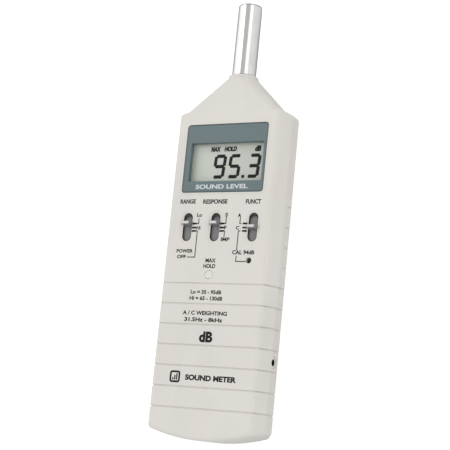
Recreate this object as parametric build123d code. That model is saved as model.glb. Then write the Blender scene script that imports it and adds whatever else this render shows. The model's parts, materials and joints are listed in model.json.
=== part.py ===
from build123d import *
import math
import os

# Handheld sound level meter, lying on its back.
# +X is the right-hand side seen from the front, +Y points to the microphone, +Z out of the
# display face.  The back of the case lies on Z = 0 and Y = 0 is half of the whole length.
# All sizes are in millimetres.

# ---- driving dimensions -------------------------------------------------------------------
LENGTH = 240.0                 # bottom end of the case to the tip of the microphone
WIDTH = 68.0
DEPTH = 25.0                   # back of the case to the display face
WALL = 2.0
MIC_DIAMETER = 13.2            # half-inch measuring microphone
BATTERY_SIZE = (26.5, 48.5, 17.5)   # nine-volt block with its terminals
BOARD_THICKNESS = 1.6

# ---- case ---------------------------------------------------------------------------------
HALF_WIDTH = WIDTH / 2
END_Y = -LENGTH / 2
TIP_Y = LENGTH / 2
AXIS_Z = DEPTH / 2             # height of the microphone's axis
PARTING_Z = 13.5               # where the two shells meet
PARTING_GAP = 0.12
SIDE_LOW_Z = 8.5               # the side is upright between these two heights
SIDE_HIGH_Z = 17.0
FRONT_HALF = 30.0              # the leaning sides would meet the face here
BACK_HALF = 29.0               # and the back here
FRONT_SHRINK = 1.62            # how much faster these corners come in than the wall does
BACK_SHRINK = 1.74
NECK_CORNER = 4.0
NECK_ROOT = 12.0               # the neck runs this far into the case
END_SAG = 6.0                  # the bottom end bows out by this much
SHOULDER_Y = 54.6
NECK_BASE_Y = 56.6
NECK_BASE_HALF = 27.0
NECK_TOP_Y = 76.5
NECK_TOP_HALF = 8.6
COLLAR_END_Y = 78.5
COLLAR_RADIUS = 8.3
NECK_PLUG_Y = 66.0             # the neck is solid from here up, but for the bore
FACE_Z = DEPTH
FACE_INNER_Z = DEPTH - WALL
CORNER_RADIUS = 3.0
END_CORNER_RADIUS = 2.6
SHOULDER_RADIUS = 9.0
FACE_EDGE_RADIUS = 2.4
BACK_EDGE_RADIUS = 2.2

GROOVE_COUNT = 7
SIDE_GROOVE_COUNT = 4          # further grooves above them, on the rear shell's sides only
GROOVE_TOP_Y = -38.5
GROOVE_PITCH = 10.9
GROOVE_WIDTH = 0.8
GROOVE_DEPTH = 0.45
SIDE_GROOVE_MIN_X = 29.5

LIP_THICKNESS = 0.85
LIP_HEIGHT = 1.5

# ---- display ------------------------------------------------------------------------------
BEZEL_SIZE = (48.7, 37.8)
BEZEL_CENTRE_Y = 29.7
BEZEL_TOP_Z = FACE_Z + 0.45
BEZEL_CORNER = 1.8
BEZEL_CHAMFER = 0.7
BEZEL_GAP = 0.15
BEZEL_FLANGE = 0.85
BEZEL_BOTTOM_Z = 21.9
RIM_WIDTH = 1.4
RIM_HEIGHT = 0.35
VIEW_SIZE = (43.8, 21.4)
VIEW_CENTRE = (0.9, 27.6)
VIEW_CORNER = 0.5
WINDOW_MARGIN = 1.3
WINDOW_CORNER = 0.9
WINDOW_THICKNESS = 0.9
LCD_SIZE = (46.8, 26.8)
LCD_TOP_Z = 21.7
LCD_GLASS_THICKNESS = 1.05     # each of the two sheets
LCD_CENTRE_Y = 27.6
LCD_LEDGE = 1.1                # the lower sheet stands out by this for the contacts
FRAME_WALL = 1.1
FRAME_SHELF = 1.5              # the holder carries the display along its sides by this
FRAME_END_SHELF = 0.2
ZEBRA_WIDTH = 2.0
ZEBRA_INSET = 0.4
ZEBRA_END_INSET = 2.0
SEAT_GAP = 0.1

# ---- board --------------------------------------------------------------------------------
BOARD_BOTTOM_Z = 16.2
BOARD_TOP_Z = BOARD_BOTTOM_Z + BOARD_THICKNESS
BOARD_HALF_WIDTH = 30.0
BOARD_TOP_Y = 50.5
BOARD_LOW_Y = -53.5
TONGUE_X = 17.6                # the board's narrow tongue beside the battery, for the jack
TONGUE_LOW_Y = -88.0
BOARD_SCREW_SPOTS = [(-27.6, 45.0), (27.6, 45.0), (-27.6, -42.0), (27.6, -42.0)]
BOARD_BOSS_RADIUS = 2.2
BOARD_SCREW_RADIUS = 0.95
BOARD_HEAD_RADIUS = 1.8
BOARD_HEAD_HEIGHT = 1.2

# ---- slide switches and their knobs -------------------------------------------------------
KNOB_PITCH = 2.0               # one click
SLOT_SIZE = (5.4, 15.4)
SLOT_CENTRE_Y = -8.1
SLOT_X = {"range": -18.75, "response": -2.0, "function": 20.35}
KNOB_STEP = {"range": 1, "response": 1, "function": 0}    # clicks above the middle at rest
SLOT_DISH = 1.5                # the shallow hollow around each slot
SLOT_DISH_DEPTH = 0.3
KNOB_POCKET_TOP_Z = 23.6
KNOB_PLATE_SIZE = (7.6, 20.6)
KNOB_PLATE_Z = (22.4, 23.4)
KNOB_RIDGE = (5.0, 2.5)
KNOB_TOP_Z = FACE_Z + 3.0
SWITCH_SIZE = (8.0, 17.0, 3.6)
SWITCH_CHANNEL = (3.4, 11.0)
SWITCH_FLOOR = 1.2
SLIDER_SIZE = (3.1, 4.4)
PEG_SIZE = (2.0, 1.6)
PEG_HEIGHT = 1.5
PEG_GAP = 0.04
PLATE_CORNER = 1.0
POCKET_MARGIN = 0.8
RIDGE_TAPER = (0.3, 0.7)
RIDGE_ROUNDING = 0.5
FIT_GAP = 0.15

# ---- max hold button ----------------------------------------------------------------------
BUTTON_SPOT = (-2.8, -33.8)
BUTTON_RADIUS = 2.2
BUTTON_FLANGE_RADIUS = 3.3
BUTTON_BOTTOM_Z = 21.9
BUTTON_FLANGE_TOP_Z = 22.6
BUTTON_PROUD = 0.05
BUTTON_ROUNDING = 0.25
TACT_SIZE = 6.2
TACT_HEIGHT = 3.3
PLUNGER_RADIUS = 1.6
PLUNGER_BORE_FLOOR = 0.6
PLUNGER_FOOT = 1.3

# ---- calibration trimmer ------------------------------------------------------------------
TRIMMER_SPOT = (19.8, -25.9)
TRIMMER_HOLE_RADIUS = 1.65
TRIMMER_SIZE = 6.6
TRIMMER_HEIGHT = 3.7
ROTOR_RADIUS = 1.55
ROTOR_TOP_Z = 22.3
ROTOR_SLOT = (2.4, 0.55, 0.7)
RUNNING_GAP = 0.06

# ---- output jack --------------------------------------------------------------------------
JACK_Y = -77.1
JACK_BORE_RADIUS = 1.78        # for a 3.5 mm plug
JACK_BODY = (12.0, 6.6, 5.4)
JACK_NOSE_RADIUS = 2.8
JACK_NOSE_END_X = 33.6
JACK_BORE_DEPTH = 13.4
JACK_HOLE_GAP = 0.12
JACK_BACK_WALL = 0.6

# ---- microphone ---------------------------------------------------------------------------
MIC_RADIUS = MIC_DIAMETER / 2
MIC_BORE_RADIUS = 5.7
MIC_TUBE_START_Y = 62.0
MIC_ROOT_RADIUS = 6.3          # the tube is thinner where the neck grips it
GRID_LENGTH = 4.0
GRID_PLUG = 2.0                # the cap reaches this far into the tube
GRID_WALL = 0.9
GRID_FACE_RADIUS = 4.9         # the slots end at this radius
GRID_ROUNDING = 0.9
COLLAR_GAP_RADIUS = 7.2        # the clearance round the tube at the collar's end
COLLAR_GAP_DEPTH = 0.8
COLLAR_ROUNDING = 0.6
GRID_SLOT_WIDTH = 0.6
GRID_SLOT_PITCH = 1.4
GRID_SLOT_COUNT = 7
O_RING_Y = 71.0
O_RING_SECTION = 0.8
CAPSULE_Y = (TIP_Y - 7.5, TIP_Y - 2.0)
INSULATOR_LENGTH = 3.0
CONTACT_RADIUS = 0.95
CONTACT_LENGTH = 8.5
PREAMP_WIDTH = 9.6
PREAMP_THICKNESS = 1.0
PREAMP_START_Y = 70.0
LEAD_BEND = 3.0
MIC_LEAD_RADIUS = 0.5
MIC_LEAD_PITCH = 2.5

# ---- battery ------------------------------------------------------------------------------
BATTERY_TERMINAL = 2.6
BATTERY_LOW_Y = -109.2
BATTERY_BOTTOM_Z = 2.9
BATTERY_ROUNDING = 2.0
TERMINALS = ((-6.35, 2.9), (6.35, 3.4))    # x and radius of each
SNAP_SIZE = (25.0, 4.2, 11.5)
SNAP_GAP = 0.1
BATTERY_LEAD_RADIUS = 0.55
BATTERY_LEAD_X = 2.0
BATTERY_LEAD_Z = 11.8
PAD_WIDTH = 22.0
WELL_HALF_WIDTH = 14.0
WELL_Y = (-110.6, -58.0)
WELL_TOP_Z = 20.7
WELL_WALL = 1.3
DOOR_TOP_Y = -54.0
DOOR_HALF_WIDTH = 17.0
DOOR_PLATE = 1.6
DOOR_TONGUE = 1.0              # thickness of the guide layer inside the rails
DOOR_TONGUE_OUT = 1.2
DOOR_GAP = 0.2
RAIL_HALF_WIDTH = 20.4
RAIL_TOP_Z = 4.6
DOOR_RIB_COUNT = 5
DOOR_RIB_PITCH = 2.0
DOOR_RIB_TOP = 6.0             # from the door's top edge to its first finger rib
DOOR_RIB_HALF = 8.0
DOOR_RIB_WIDTH = 0.9
DOOR_RIB_DEPTH = 0.5
ARROW_Y = -76.0                # the sunk arrow that shows which way the door slides
ARROW_SIZE = (9.0, 6.0)
ARROW_DEPTH = 0.4
LEAD_WINDOW_HALF = 6.0         # the opening for the battery's wires, above the compartment
LEAD_WINDOW_Z = (9.5, 14.0)

# ---- fasteners and tripod insert ----------------------------------------------------------
CASE_SCREW_SPOTS = [(-19.0, 54.0), (19.0, 54.0), (-24.3, -103.0), (24.3, -103.0)]
CASE_BOSS_RADIUS = 3.7
CASE_POST_RADIUS = 2.9
CASE_SCREW_RADIUS = 1.45
CASE_HEAD_RADIUS = 2.7
CASE_HEAD_Z = (1.0, 3.2)
CASE_SCREW_TOP_Z = 20.0
TRIPOD_SPOT = (0.0, -20.0)
TRIPOD_RADIUS = 2.55           # tapping size of a quarter-inch, 20 threads per inch, screw
TRIPOD_OUTER_RADIUS = 4.5
TRIPOD_LENGTH = 8.0
LABEL_SIZE = (40.0, 26.0)
LABEL_CENTRE_Y = 18.0
LABEL_THICKNESS = 0.2
LABEL_CORNER = 2.0
LABEL_GAP = 0.2
CASE_HEAD_ROUNDING = 0.6
CASE_HEAD_CROSS = (3.2, 0.7, 1.2)
BOARD_SCREW_TOP_Z = 21.5
BOARD_HEAD_SLOT = (2.4, 0.5, 0.5)

# ---- parts under the board ----------------------------------------------------------------
PROCESSOR_SPOT = (8.0, 18.0)
PROCESSOR_SIZE = (12.0, 12.0, 1.6)
AMPLIFIER_SPOT = (-14.0, 40.0)     # the first of a row down the board
AMPLIFIER_SIZE = (4.0, 5.0, 1.5)
AMPLIFIER_PITCH = 11.0
AMPLIFIER_COUNT = 3
CAPACITOR_SPOT = (-22.0, -14.0)    # the first of a row down the board
CAPACITOR_RADIUS = 2.5
CAPACITOR_HEIGHT = 6.0
CAPACITOR_PITCH = 9.0
CAPACITOR_COUNT = 4
CRYSTAL_SPOT = (10.0, 4.0)
CRYSTAL_SIZE = (11.0, 4.6, 3.6)
CRYSTAL_CORNER = 2.2
REGULATOR_SPOT = (16.0, -44.0)
REGULATOR_SIZE = (4.5, 3.6, 3.2)

BIG = 200.0                    # larger than the whole case, for cutting blocks


# ---- helpers ------------------------------------------------------------------------------
def block(x_span, y_span, z_span):
    """A box between two values of each coordinate."""
    size = [high - low for low, high in (x_span, y_span, z_span)]
    middle = [(high + low) / 2 for low, high in (x_span, y_span, z_span)]
    return Pos(*middle) * Box(*size)


def around(centre, size):
    """The span of a size about a centre."""
    return (centre - size / 2, centre + size / 2)


def post(spot, radius, z_span):
    """An upright cylinder at a spot in plan."""
    height = z_span[1] - z_span[0]
    return Pos(spot[0], spot[1], (z_span[0] + z_span[1]) / 2) * Cylinder(radius, height)


def mic_rod(radius, y_span):
    """A cylinder on the microphone's axis."""
    height = y_span[1] - y_span[0]
    place = Pos(0, (y_span[0] + y_span[1]) / 2, AXIS_Z)
    return place * Rot(90, 0, 0) * Cylinder(radius, height)


def rounded_plate(size, centre, z_span, radius):
    """A flat plate with rounded corners."""
    outline = Pos(centre[0], centre[1], z_span[0]) * RectangleRounded(*size, radius)
    return extrude(outline, amount=z_span[1] - z_span[0])


def wire(points, bend_radius, radius):
    """A round wire along straight runs with rounded bends."""
    path = FilletPolyline(*points, radius=bend_radius)
    section = Plane(origin=path @ 0, z_dir=path % 0) * Circle(radius)
    return sweep(section, path=path)


# ---- case ---------------------------------------------------------------------------------
def plan_prism(inset):
    """The outline of the case in plan, drawn in by an inset, as an upright prism."""
    half = HALF_WIDTH - inset
    end = END_Y + END_SAG + inset
    shoulder = SHOULDER_Y - inset
    base = NECK_BASE_Y - inset
    bottom = ThreePointArc((half, end), (0, END_Y + inset), (-half, end))
    top = FilletPolyline(
        (-half, end), (-half, shoulder), (-NECK_BASE_HALF, base), (NECK_BASE_HALF, base),
        (half, shoulder), (half, end),
        radius=(CORNER_RADIUS, SHOULDER_RADIUS, SHOULDER_RADIUS, CORNER_RADIUS))
    return extrude(make_face(bottom + top), amount=DEPTH)


def section_prism(inset):
    """The case's section across its length, drawn in by an inset, as a long prism."""
    front = FRONT_HALF - inset * FRONT_SHRINK
    back = BACK_HALF - inset * BACK_SHRINK
    side = HALF_WIDTH - inset
    lean = inset / 4            # a leaning wall's level drops a little as it is drawn in
    right = [(back, inset), (side, SIDE_LOW_Z + lean), (side, SIDE_HIGH_Z - lean), (front, DEPTH - inset)]
    left = [(-x, z) for x, z in reversed(right)]
    outline = Plane.XZ * make_face(Polyline(*right, *left, close=True))
    return extrude(outline, amount=LENGTH, both=True)


def body_core(inset):
    """The case without its neck, drawn in all round by an inset, with sharp edges."""
    return plan_prism(inset) & section_prism(inset)


def rounded_body():
    """The outside of the case without its neck, with every edge rounded."""
    body = body_core(0.0)
    above = [edge for edge in body.edges() if edge.center().Z > SIDE_HIGH_Z + 1.0]
    body = fillet(above, FACE_EDGE_RADIUS)
    below = [edge for edge in body.edges() if edge.center().Z < SIDE_LOW_Z - 1.0]
    body = fillet(below, BACK_EDGE_RADIUS)
    upright = [edge for edge in body.edges()
               if SIDE_LOW_Z < edge.center().Z < SIDE_HIGH_Z - 1.5 and edge.center().Y < END_Y + 2 * END_SAG]
    return fillet(upright, END_CORNER_RADIUS)


def neck_section(y, half_width, half_depth, radius):
    """A rounded section of the neck across its axis."""
    plane = Plane(origin=(0, y, AXIS_Z), x_dir=(1, 0, 0), z_dir=(0, -1, 0))
    return plane * RectangleRounded(2 * half_width, 2 * half_depth, radius)


def neck_outside():
    """The neck, from inside the case to the collar round the microphone."""
    base = neck_section(NECK_BASE_Y, NECK_BASE_HALF, DEPTH / 2, NECK_CORNER)
    top = neck_section(NECK_TOP_Y, NECK_TOP_HALF, NECK_TOP_HALF, NECK_TOP_HALF - 0.1)
    straight = extrude(base, amount=NECK_ROOT)
    taper = loft([base, top], ruled=True)
    collar = mic_rod(COLLAR_RADIUS, (NECK_TOP_Y - 1.0, COLLAR_END_Y))
    rim = collar.edges().filter_by_position(Axis.Y, COLLAR_END_Y - 0.01, COLLAR_END_Y + 0.01)
    return straight + taper + fillet(rim, COLLAR_ROUNDING)


def neck_inside():
    """The hollow of the neck, up to its solid plug."""
    part = (NECK_PLUG_Y - NECK_BASE_Y) / (NECK_TOP_Y - NECK_BASE_Y)
    half_width = NECK_BASE_HALF + part * (NECK_TOP_HALF - NECK_BASE_HALF)
    half_depth = DEPTH / 2 + part * (NECK_TOP_HALF - DEPTH / 2)
    slant = 1.4 * WALL           # the taper's wall, measured across the axis
    base = neck_section(NECK_BASE_Y, NECK_BASE_HALF - slant, DEPTH / 2 - WALL, NECK_CORNER - WALL)
    top = neck_section(NECK_PLUG_Y, half_width - slant, half_depth - WALL, NECK_CORNER - WALL)
    return extrude(base, amount=NECK_ROOT) + loft([base, top], ruled=True)


def case_outside():
    """The whole case as one solid."""
    return rounded_body() + neck_outside()


def case_hollow():
    """Everything inside the walls, with the microphone's bore and its sealing groove."""
    bore = mic_rod(MIC_ROOT_RADIUS + 0.04, (MIC_TUBE_START_Y - 3.0, COLLAR_END_Y + 1.0))
    seal_radius = MIC_ROOT_RADIUS + 2 * O_RING_SECTION + 0.05
    seal = mic_rod(seal_radius, around(O_RING_Y, 2 * O_RING_SECTION + 0.1))
    gap = mic_rod(COLLAR_GAP_RADIUS, (COLLAR_END_Y - COLLAR_GAP_DEPTH, COLLAR_END_Y + 1.0))
    return body_core(WALL) + neck_inside() + bore + seal + gap


def lip_ring(inner_inset, outer_inset, z_span):
    """A ring along the inside of the case walls, open at the neck."""
    ring = body_core(outer_inset) - body_core(inner_inset)
    return ring & block((-BIG, BIG), (-BIG, SHOULDER_Y - 8.0), z_span)


def groove_cutter(count, top_y, core):
    """Grooves round the case, as deep as the core is drawn in."""
    slabs = groove_slabs(count, top_y)
    return [slab - core for slab in slabs]


def groove_slabs(count, top_y):
    """Slabs across the case where its grooves run, from the top one down."""
    ys = [top_y - index * GROOVE_PITCH for index in range(count)]
    return [block((-BIG, BIG), around(y, GROOVE_WIDTH), (-BIG, BIG)) for y in ys]


def slot_face(spot, grow, z):
    """The outline of a knob's slot, grown by a margin."""
    width, length = SLOT_SIZE
    outline = SlotOverall(length + 2 * grow, width + 2 * grow, rotation=90)
    return Pos(spot[0], spot[1], z) * outline


def slot_cutter(spot):
    """A slot through the face, its shallow dish and the pocket for the knob's plate."""
    through = extrude(slot_face(spot, 0.0, FACE_INNER_Z - 1.0), amount=WALL + 2.0)
    dish = loft([slot_face(spot, 0.3, FACE_Z - SLOT_DISH_DEPTH),
                 slot_face(spot, SLOT_DISH, FACE_Z + 0.01)], ruled=True)
    plate_width, plate_length = KNOB_PLATE_SIZE
    travel = 2 * KNOB_PITCH
    pocket = block(around(spot[0], plate_width + POCKET_MARGIN),
                   around(spot[1], plate_length + travel + POCKET_MARGIN),
                   (FACE_INNER_Z - 1.0, KNOB_POCKET_TOP_Z))
    return through + dish + pocket


def jack_hole():
    """The round hole for the jack's nose, through the right-hand wall."""
    place = Pos(HALF_WIDTH - 2.0, JACK_Y, PARTING_Z)
    return place * Rot(0, 90, 0) * Cylinder(JACK_NOSE_RADIUS + JACK_HOLE_GAP, 3 * WALL)


def screw_post(spot):
    """A post in the front shell for one case screw."""
    shell_post = post(spot, CASE_POST_RADIUS, (PARTING_Z + PARTING_GAP, FACE_INNER_Z + 0.5))
    return shell_post - post(spot, CASE_SCREW_RADIUS + 0.05, (PARTING_Z, CASE_SCREW_TOP_Z + 1.0))


def screw_boss_cutter(spot):
    """The clearance hole and the sunk seat of one case screw, in the rear shell."""
    shank = post(spot, CASE_SCREW_RADIUS + 0.2, (-1.0, PARTING_Z + 1.0))
    return shank + post(spot, CASE_HEAD_RADIUS + 0.25, (-1.0, CASE_HEAD_Z[1]))


def display_rim():
    """The low raised lip around the bezel."""
    width, length = BEZEL_SIZE
    base = Pos(0, BEZEL_CENTRE_Y, FACE_Z - 0.2) * RectangleRounded(
        width + 2 * RIM_WIDTH, length + 2 * RIM_WIDTH, BEZEL_CORNER + RIM_WIDTH)
    top = Pos(0, BEZEL_CENTRE_Y, FACE_Z + RIM_HEIGHT) * RectangleRounded(
        width + RIM_WIDTH, length + RIM_WIDTH, BEZEL_CORNER + RIM_WIDTH / 2)
    return loft([base, top], ruled=True)


def bezel_opening():
    """The opening of the front shell that holds the bezel."""
    width, length = BEZEL_SIZE
    size = (width + 2 * BEZEL_GAP, length + 2 * BEZEL_GAP)
    return rounded_plate(size, (0, BEZEL_CENTRE_Y), (FACE_INNER_Z - 1.0, FACE_Z + 2.0), BEZEL_CORNER)


def make_front_case(outside, hollow):
    """The front shell with its openings, posts and bosses."""
    upper = block((-BIG, BIG), (-BIG, BIG), (PARTING_Z + PARTING_GAP, BIG))
    shell = (outside & upper) - hollow
    shell = shell - lip_ring(WALL + 0.5, WALL - LIP_THICKNESS - 0.15,
                             (PARTING_Z - 1.0, PARTING_Z + LIP_HEIGHT + 0.2))
    shell = shell + display_rim() - bezel_opening()
    for x in SLOT_X.values():
        shell = shell - slot_cutter((x, SLOT_CENTRE_Y))
    shell = shell - post(BUTTON_SPOT, BUTTON_RADIUS + FIT_GAP, (FACE_INNER_Z - 1.0, FACE_Z + 1.0))
    shell = shell - post(TRIMMER_SPOT, TRIMMER_HOLE_RADIUS, (FACE_INNER_Z - 1.0, FACE_Z + 1.0))
    for spot in CASE_SCREW_SPOTS:
        shell = shell + screw_post(spot)
    for spot in BOARD_SCREW_SPOTS:
        boss = post(spot, BOARD_BOSS_RADIUS, (BOARD_TOP_Z, FACE_INNER_Z + 0.5))
        shell = shell + boss - post(spot, BOARD_SCREW_RADIUS + 0.05, (BOARD_TOP_Z - 1.0, 22.0))
    shell = shell - groove_cutter(GROOVE_COUNT, GROOVE_TOP_Y, body_core(GROOVE_DEPTH))
    return shell - jack_hole()


def door_groove():
    """The slot that the battery door slides in, open at the bottom end."""
    y_span = (-BIG, DOOR_TOP_Y + DOOR_GAP)
    plate = DOOR_HALF_WIDTH + DOOR_GAP
    tongue = plate + DOOR_TONGUE_OUT
    level = DOOR_PLATE
    outer = block((-plate, plate), y_span, (-1.0, level + 0.05))
    inner = block((-tongue, tongue), y_span, (level - 0.05, level + DOOR_TONGUE + 0.1))
    return outer + inner


def battery_well(outer_side):
    """The battery's compartment, as its outer block or as the space inside it."""
    wall = WELL_WALL if outer_side else 0.0
    half = WELL_HALF_WIDTH + wall
    return block((-half, half), (WELL_Y[0] - wall, WELL_Y[1] + wall), (-1.0, WELL_TOP_Z + wall))


def make_rear_case(outside, hollow):
    """The rear shell with the battery compartment, rails, screw bosses and tripod boss."""
    lower = block((-BIG, BIG), (-BIG, BIG), (-1.0, PARTING_Z))
    shell = (outside & lower) - hollow
    shell = shell + lip_ring(WALL + 0.05, WALL - LIP_THICKNESS, (PARTING_Z - 1.5, PARTING_Z + LIP_HEIGHT))
    pad = block((-RAIL_HALF_WIDTH, RAIL_HALF_WIDTH), (-BIG, DOOR_TOP_Y + 3.0), (-1.0, RAIL_TOP_Z))
    fill = pad + post(TRIPOD_SPOT, TRIPOD_OUTER_RADIUS + 1.8, (0.0, TRIPOD_LENGTH + 2.0))
    for spot in CASE_SCREW_SPOTS:
        fill = fill + post(spot, CASE_BOSS_RADIUS, (0.0, PARTING_Z))
    shell = shell + (fill & outside)
    shell = shell + (battery_well(True) & block((-BIG, BIG), (-BIG, BIG), (0.0, BIG)))
    shell = shell - battery_well(False) - door_groove()
    shell = shell - block((-LEAD_WINDOW_HALF, LEAD_WINDOW_HALF),
                          (WELL_Y[1] - 1.0, WELL_Y[1] + 3.0), LEAD_WINDOW_Z)
    shell = shell - post(TRIPOD_SPOT, TRIPOD_OUTER_RADIUS, (-1.0, TRIPOD_LENGTH))
    for spot in CASE_SCREW_SPOTS:
        shell = shell - screw_boss_cutter(spot)
    core = body_core(GROOVE_DEPTH)
    shell = shell - groove_cutter(GROOVE_COUNT, GROOVE_TOP_Y, core + side_mask())
    upper_top = GROOVE_TOP_Y + SIDE_GROOVE_COUNT * GROOVE_PITCH
    shell = shell - groove_cutter(SIDE_GROOVE_COUNT, upper_top, core + side_mask())
    return shell - jack_hole() - label_recess()


def side_mask():
    """The middle of the case, where the side grooves don't reach."""
    return block((-SIDE_GROOVE_MIN_X, SIDE_GROOVE_MIN_X), (-BIG, BIG), (-BIG, BIG))


def label_recess():
    """The shallow recess of the blank rating plate on the back."""
    return rounded_plate(LABEL_SIZE, (0, LABEL_CENTRE_Y), (-1.0, LABEL_THICKNESS), LABEL_CORNER)


def make_rear_label():
    """The blank rating plate."""
    width, length = LABEL_SIZE
    size = (width - 2 * LABEL_GAP, length - 2 * LABEL_GAP)
    return rounded_plate(size, (0, LABEL_CENTRE_Y), (0.02, LABEL_THICKNESS), LABEL_CORNER - LABEL_GAP)


def make_battery_door(outside):
    """The sliding door: a visible plate, the wider guide layer inside and finger ribs."""
    y_span = (-BIG, DOOR_TOP_Y)
    tongue_half = DOOR_HALF_WIDTH + DOOR_TONGUE_OUT
    plate = block((-DOOR_HALF_WIDTH, DOOR_HALF_WIDTH), y_span, (0.0, DOOR_PLATE + 0.01))
    tongue = block((-tongue_half, tongue_half), y_span, (DOOR_PLATE, DOOR_PLATE + DOOR_TONGUE))
    door = (plate + tongue) & outside
    for index in range(DOOR_RIB_COUNT):
        y = DOOR_TOP_Y - DOOR_RIB_TOP - DOOR_RIB_PITCH * index
        door = door - block((-DOOR_RIB_HALF, DOOR_RIB_HALF), around(y, DOOR_RIB_WIDTH),
                            (-1.0, DOOR_RIB_DEPTH))
    return door - door_arrow()


def door_arrow():
    """The arrow sunk into the door, pointing the way that it slides."""
    half, length = ARROW_SIZE[0] / 2, ARROW_SIZE[1]
    outline = Polyline((-half, ARROW_Y), (half, ARROW_Y), (0, ARROW_Y - length), close=True)
    return extrude(make_face(outline), amount=ARROW_DEPTH)


# ---- display ------------------------------------------------------------------------------
def make_display_bezel():
    """The coloured frame round the display, with a flange behind the face."""
    width, length = BEZEL_SIZE
    centre = (0, BEZEL_CENTRE_Y)
    body = rounded_plate(BEZEL_SIZE, centre, (BEZEL_BOTTOM_Z, BEZEL_TOP_Z), BEZEL_CORNER)
    top_edges = body.edges().filter_by_position(Axis.Z, BEZEL_TOP_Z - 0.01, BEZEL_TOP_Z + 0.01)
    body = chamfer(top_edges, BEZEL_CHAMFER)
    flange_size = (width + 2 * BEZEL_FLANGE, length + 2 * BEZEL_FLANGE)
    flange = rounded_plate(flange_size, centre, (BEZEL_BOTTOM_Z, FACE_INNER_Z - 0.05), BEZEL_CORNER)
    view = rounded_plate(VIEW_SIZE, VIEW_CENTRE, (BEZEL_BOTTOM_Z - 1.0, BEZEL_TOP_Z + 1.0), VIEW_CORNER)
    return body + flange - view - window_seat()


def window_seat():
    """The step behind the bezel that the window is set into."""
    size = [side + 2 * (WINDOW_MARGIN + SEAT_GAP) for side in VIEW_SIZE]
    top = BEZEL_BOTTOM_Z + WINDOW_THICKNESS + 0.02
    return rounded_plate(size, VIEW_CENTRE, (BEZEL_BOTTOM_Z - 1.0, top), WINDOW_CORNER + SEAT_GAP)


def make_display_window():
    """The clear window over the display."""
    size = [side + 2 * WINDOW_MARGIN for side in VIEW_SIZE]
    z_span = (BEZEL_BOTTOM_Z, BEZEL_BOTTOM_Z + WINDOW_THICKNESS)
    return rounded_plate(size, VIEW_CENTRE, z_span, WINDOW_CORNER)


def make_lcd_panel():
    """The two glass sheets of the display; the lower one stands out for its contacts."""
    width, length = LCD_SIZE
    middle_z = LCD_TOP_Z - LCD_GLASS_THICKNESS
    low_z = middle_z - LCD_GLASS_THICKNESS
    lower = block(around(0, width), around(LCD_CENTRE_Y, length), (low_z, middle_z))
    upper = block(around(0, width), around(LCD_CENTRE_Y, length - 2 * LCD_LEDGE),
                  (middle_z, LCD_TOP_Z))
    return lower + upper


def make_lcd_frame():
    """The holder that keeps the display on the board."""
    width, length = LCD_SIZE
    low_z = LCD_TOP_Z - 2 * LCD_GLASS_THICKNESS
    outer = block(around(0, width + 2 * FRAME_WALL), around(LCD_CENTRE_Y, length + 2 * FRAME_WALL),
                  (BOARD_TOP_Z, LCD_TOP_Z))
    seat = block(around(0, width + SEAT_GAP), around(LCD_CENTRE_Y, length + SEAT_GAP),
                 (low_z, LCD_TOP_Z + 1.0))
    inner = block(around(0, width - 2 * FRAME_SHELF), around(LCD_CENTRE_Y, length - 2 * FRAME_END_SHELF),
                  (BOARD_TOP_Z - 1.0, low_z + 1.0))
    return outer - seat - inner


def make_zebra_strips():
    """The two rubber contact strips between the display and the board."""
    width, length = LCD_SIZE
    low_z = LCD_TOP_Z - 2 * LCD_GLASS_THICKNESS
    strips = []
    for side in (-1, 1):
        y = LCD_CENTRE_Y + side * (length / 2 - ZEBRA_WIDTH / 2 - ZEBRA_INSET)
        strips.append(block(around(0, width - 2 * ZEBRA_END_INSET), around(y, ZEBRA_WIDTH),
                            (BOARD_TOP_Z, low_z)))
    return Compound(children=strips)


# ---- board and what stands on it ----------------------------------------------------------
def make_main_board():
    """The circuit board: wide behind the display and switches, narrow beside the battery."""
    half = BOARD_HALF_WIDTH
    corner = 6.0
    outline = Polyline(
        (-half, BOARD_LOW_Y), (-half, BOARD_TOP_Y - corner), (-half + corner, BOARD_TOP_Y),
        (half - corner, BOARD_TOP_Y), (half, BOARD_TOP_Y - corner), (half, TONGUE_LOW_Y),
        (TONGUE_X, TONGUE_LOW_Y), (TONGUE_X, BOARD_LOW_Y), close=True)
    board = extrude(Pos(0, 0, BOARD_BOTTOM_Z) * make_face(outline), amount=BOARD_THICKNESS)
    for spot in BOARD_SCREW_SPOTS:
        board = board - post(spot, BOARD_SCREW_RADIUS + 0.15, (BOARD_BOTTOM_Z - 1.0, BOARD_TOP_Z + 1.0))
    return board


def knob_y(name):
    """Where a knob stands at rest."""
    return SLOT_CENTRE_Y + KNOB_STEP[name] * KNOB_PITCH


def make_switch(name):
    """A slide switch's body with the channel its slider runs in."""
    width, length, height = SWITCH_SIZE
    channel_width, channel_length = SWITCH_CHANNEL
    x = SLOT_X[name]
    top = BOARD_TOP_Z + height
    body = block(around(x, width), around(SLOT_CENTRE_Y, length), (BOARD_TOP_Z, top))
    channel = block(around(x, channel_width), around(SLOT_CENTRE_Y, channel_length),
                    (BOARD_TOP_Z + SWITCH_FLOOR, top + 1.0))
    return body - channel


def make_slider(name):
    """The slider of a switch, with the peg that carries the knob."""
    width, length = SLIDER_SIZE
    peg_width, peg_length = PEG_SIZE
    x = SLOT_X[name]
    y = knob_y(name)
    foot = block(around(x, width), around(y, length), (BOARD_TOP_Z + SWITCH_FLOOR + FIT_GAP, KNOB_PLATE_Z[0]))
    peg = block(around(x, peg_width), around(y, peg_length), (KNOB_PLATE_Z[0], KNOB_PLATE_Z[1] + PEG_HEIGHT))
    return foot + peg


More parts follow.
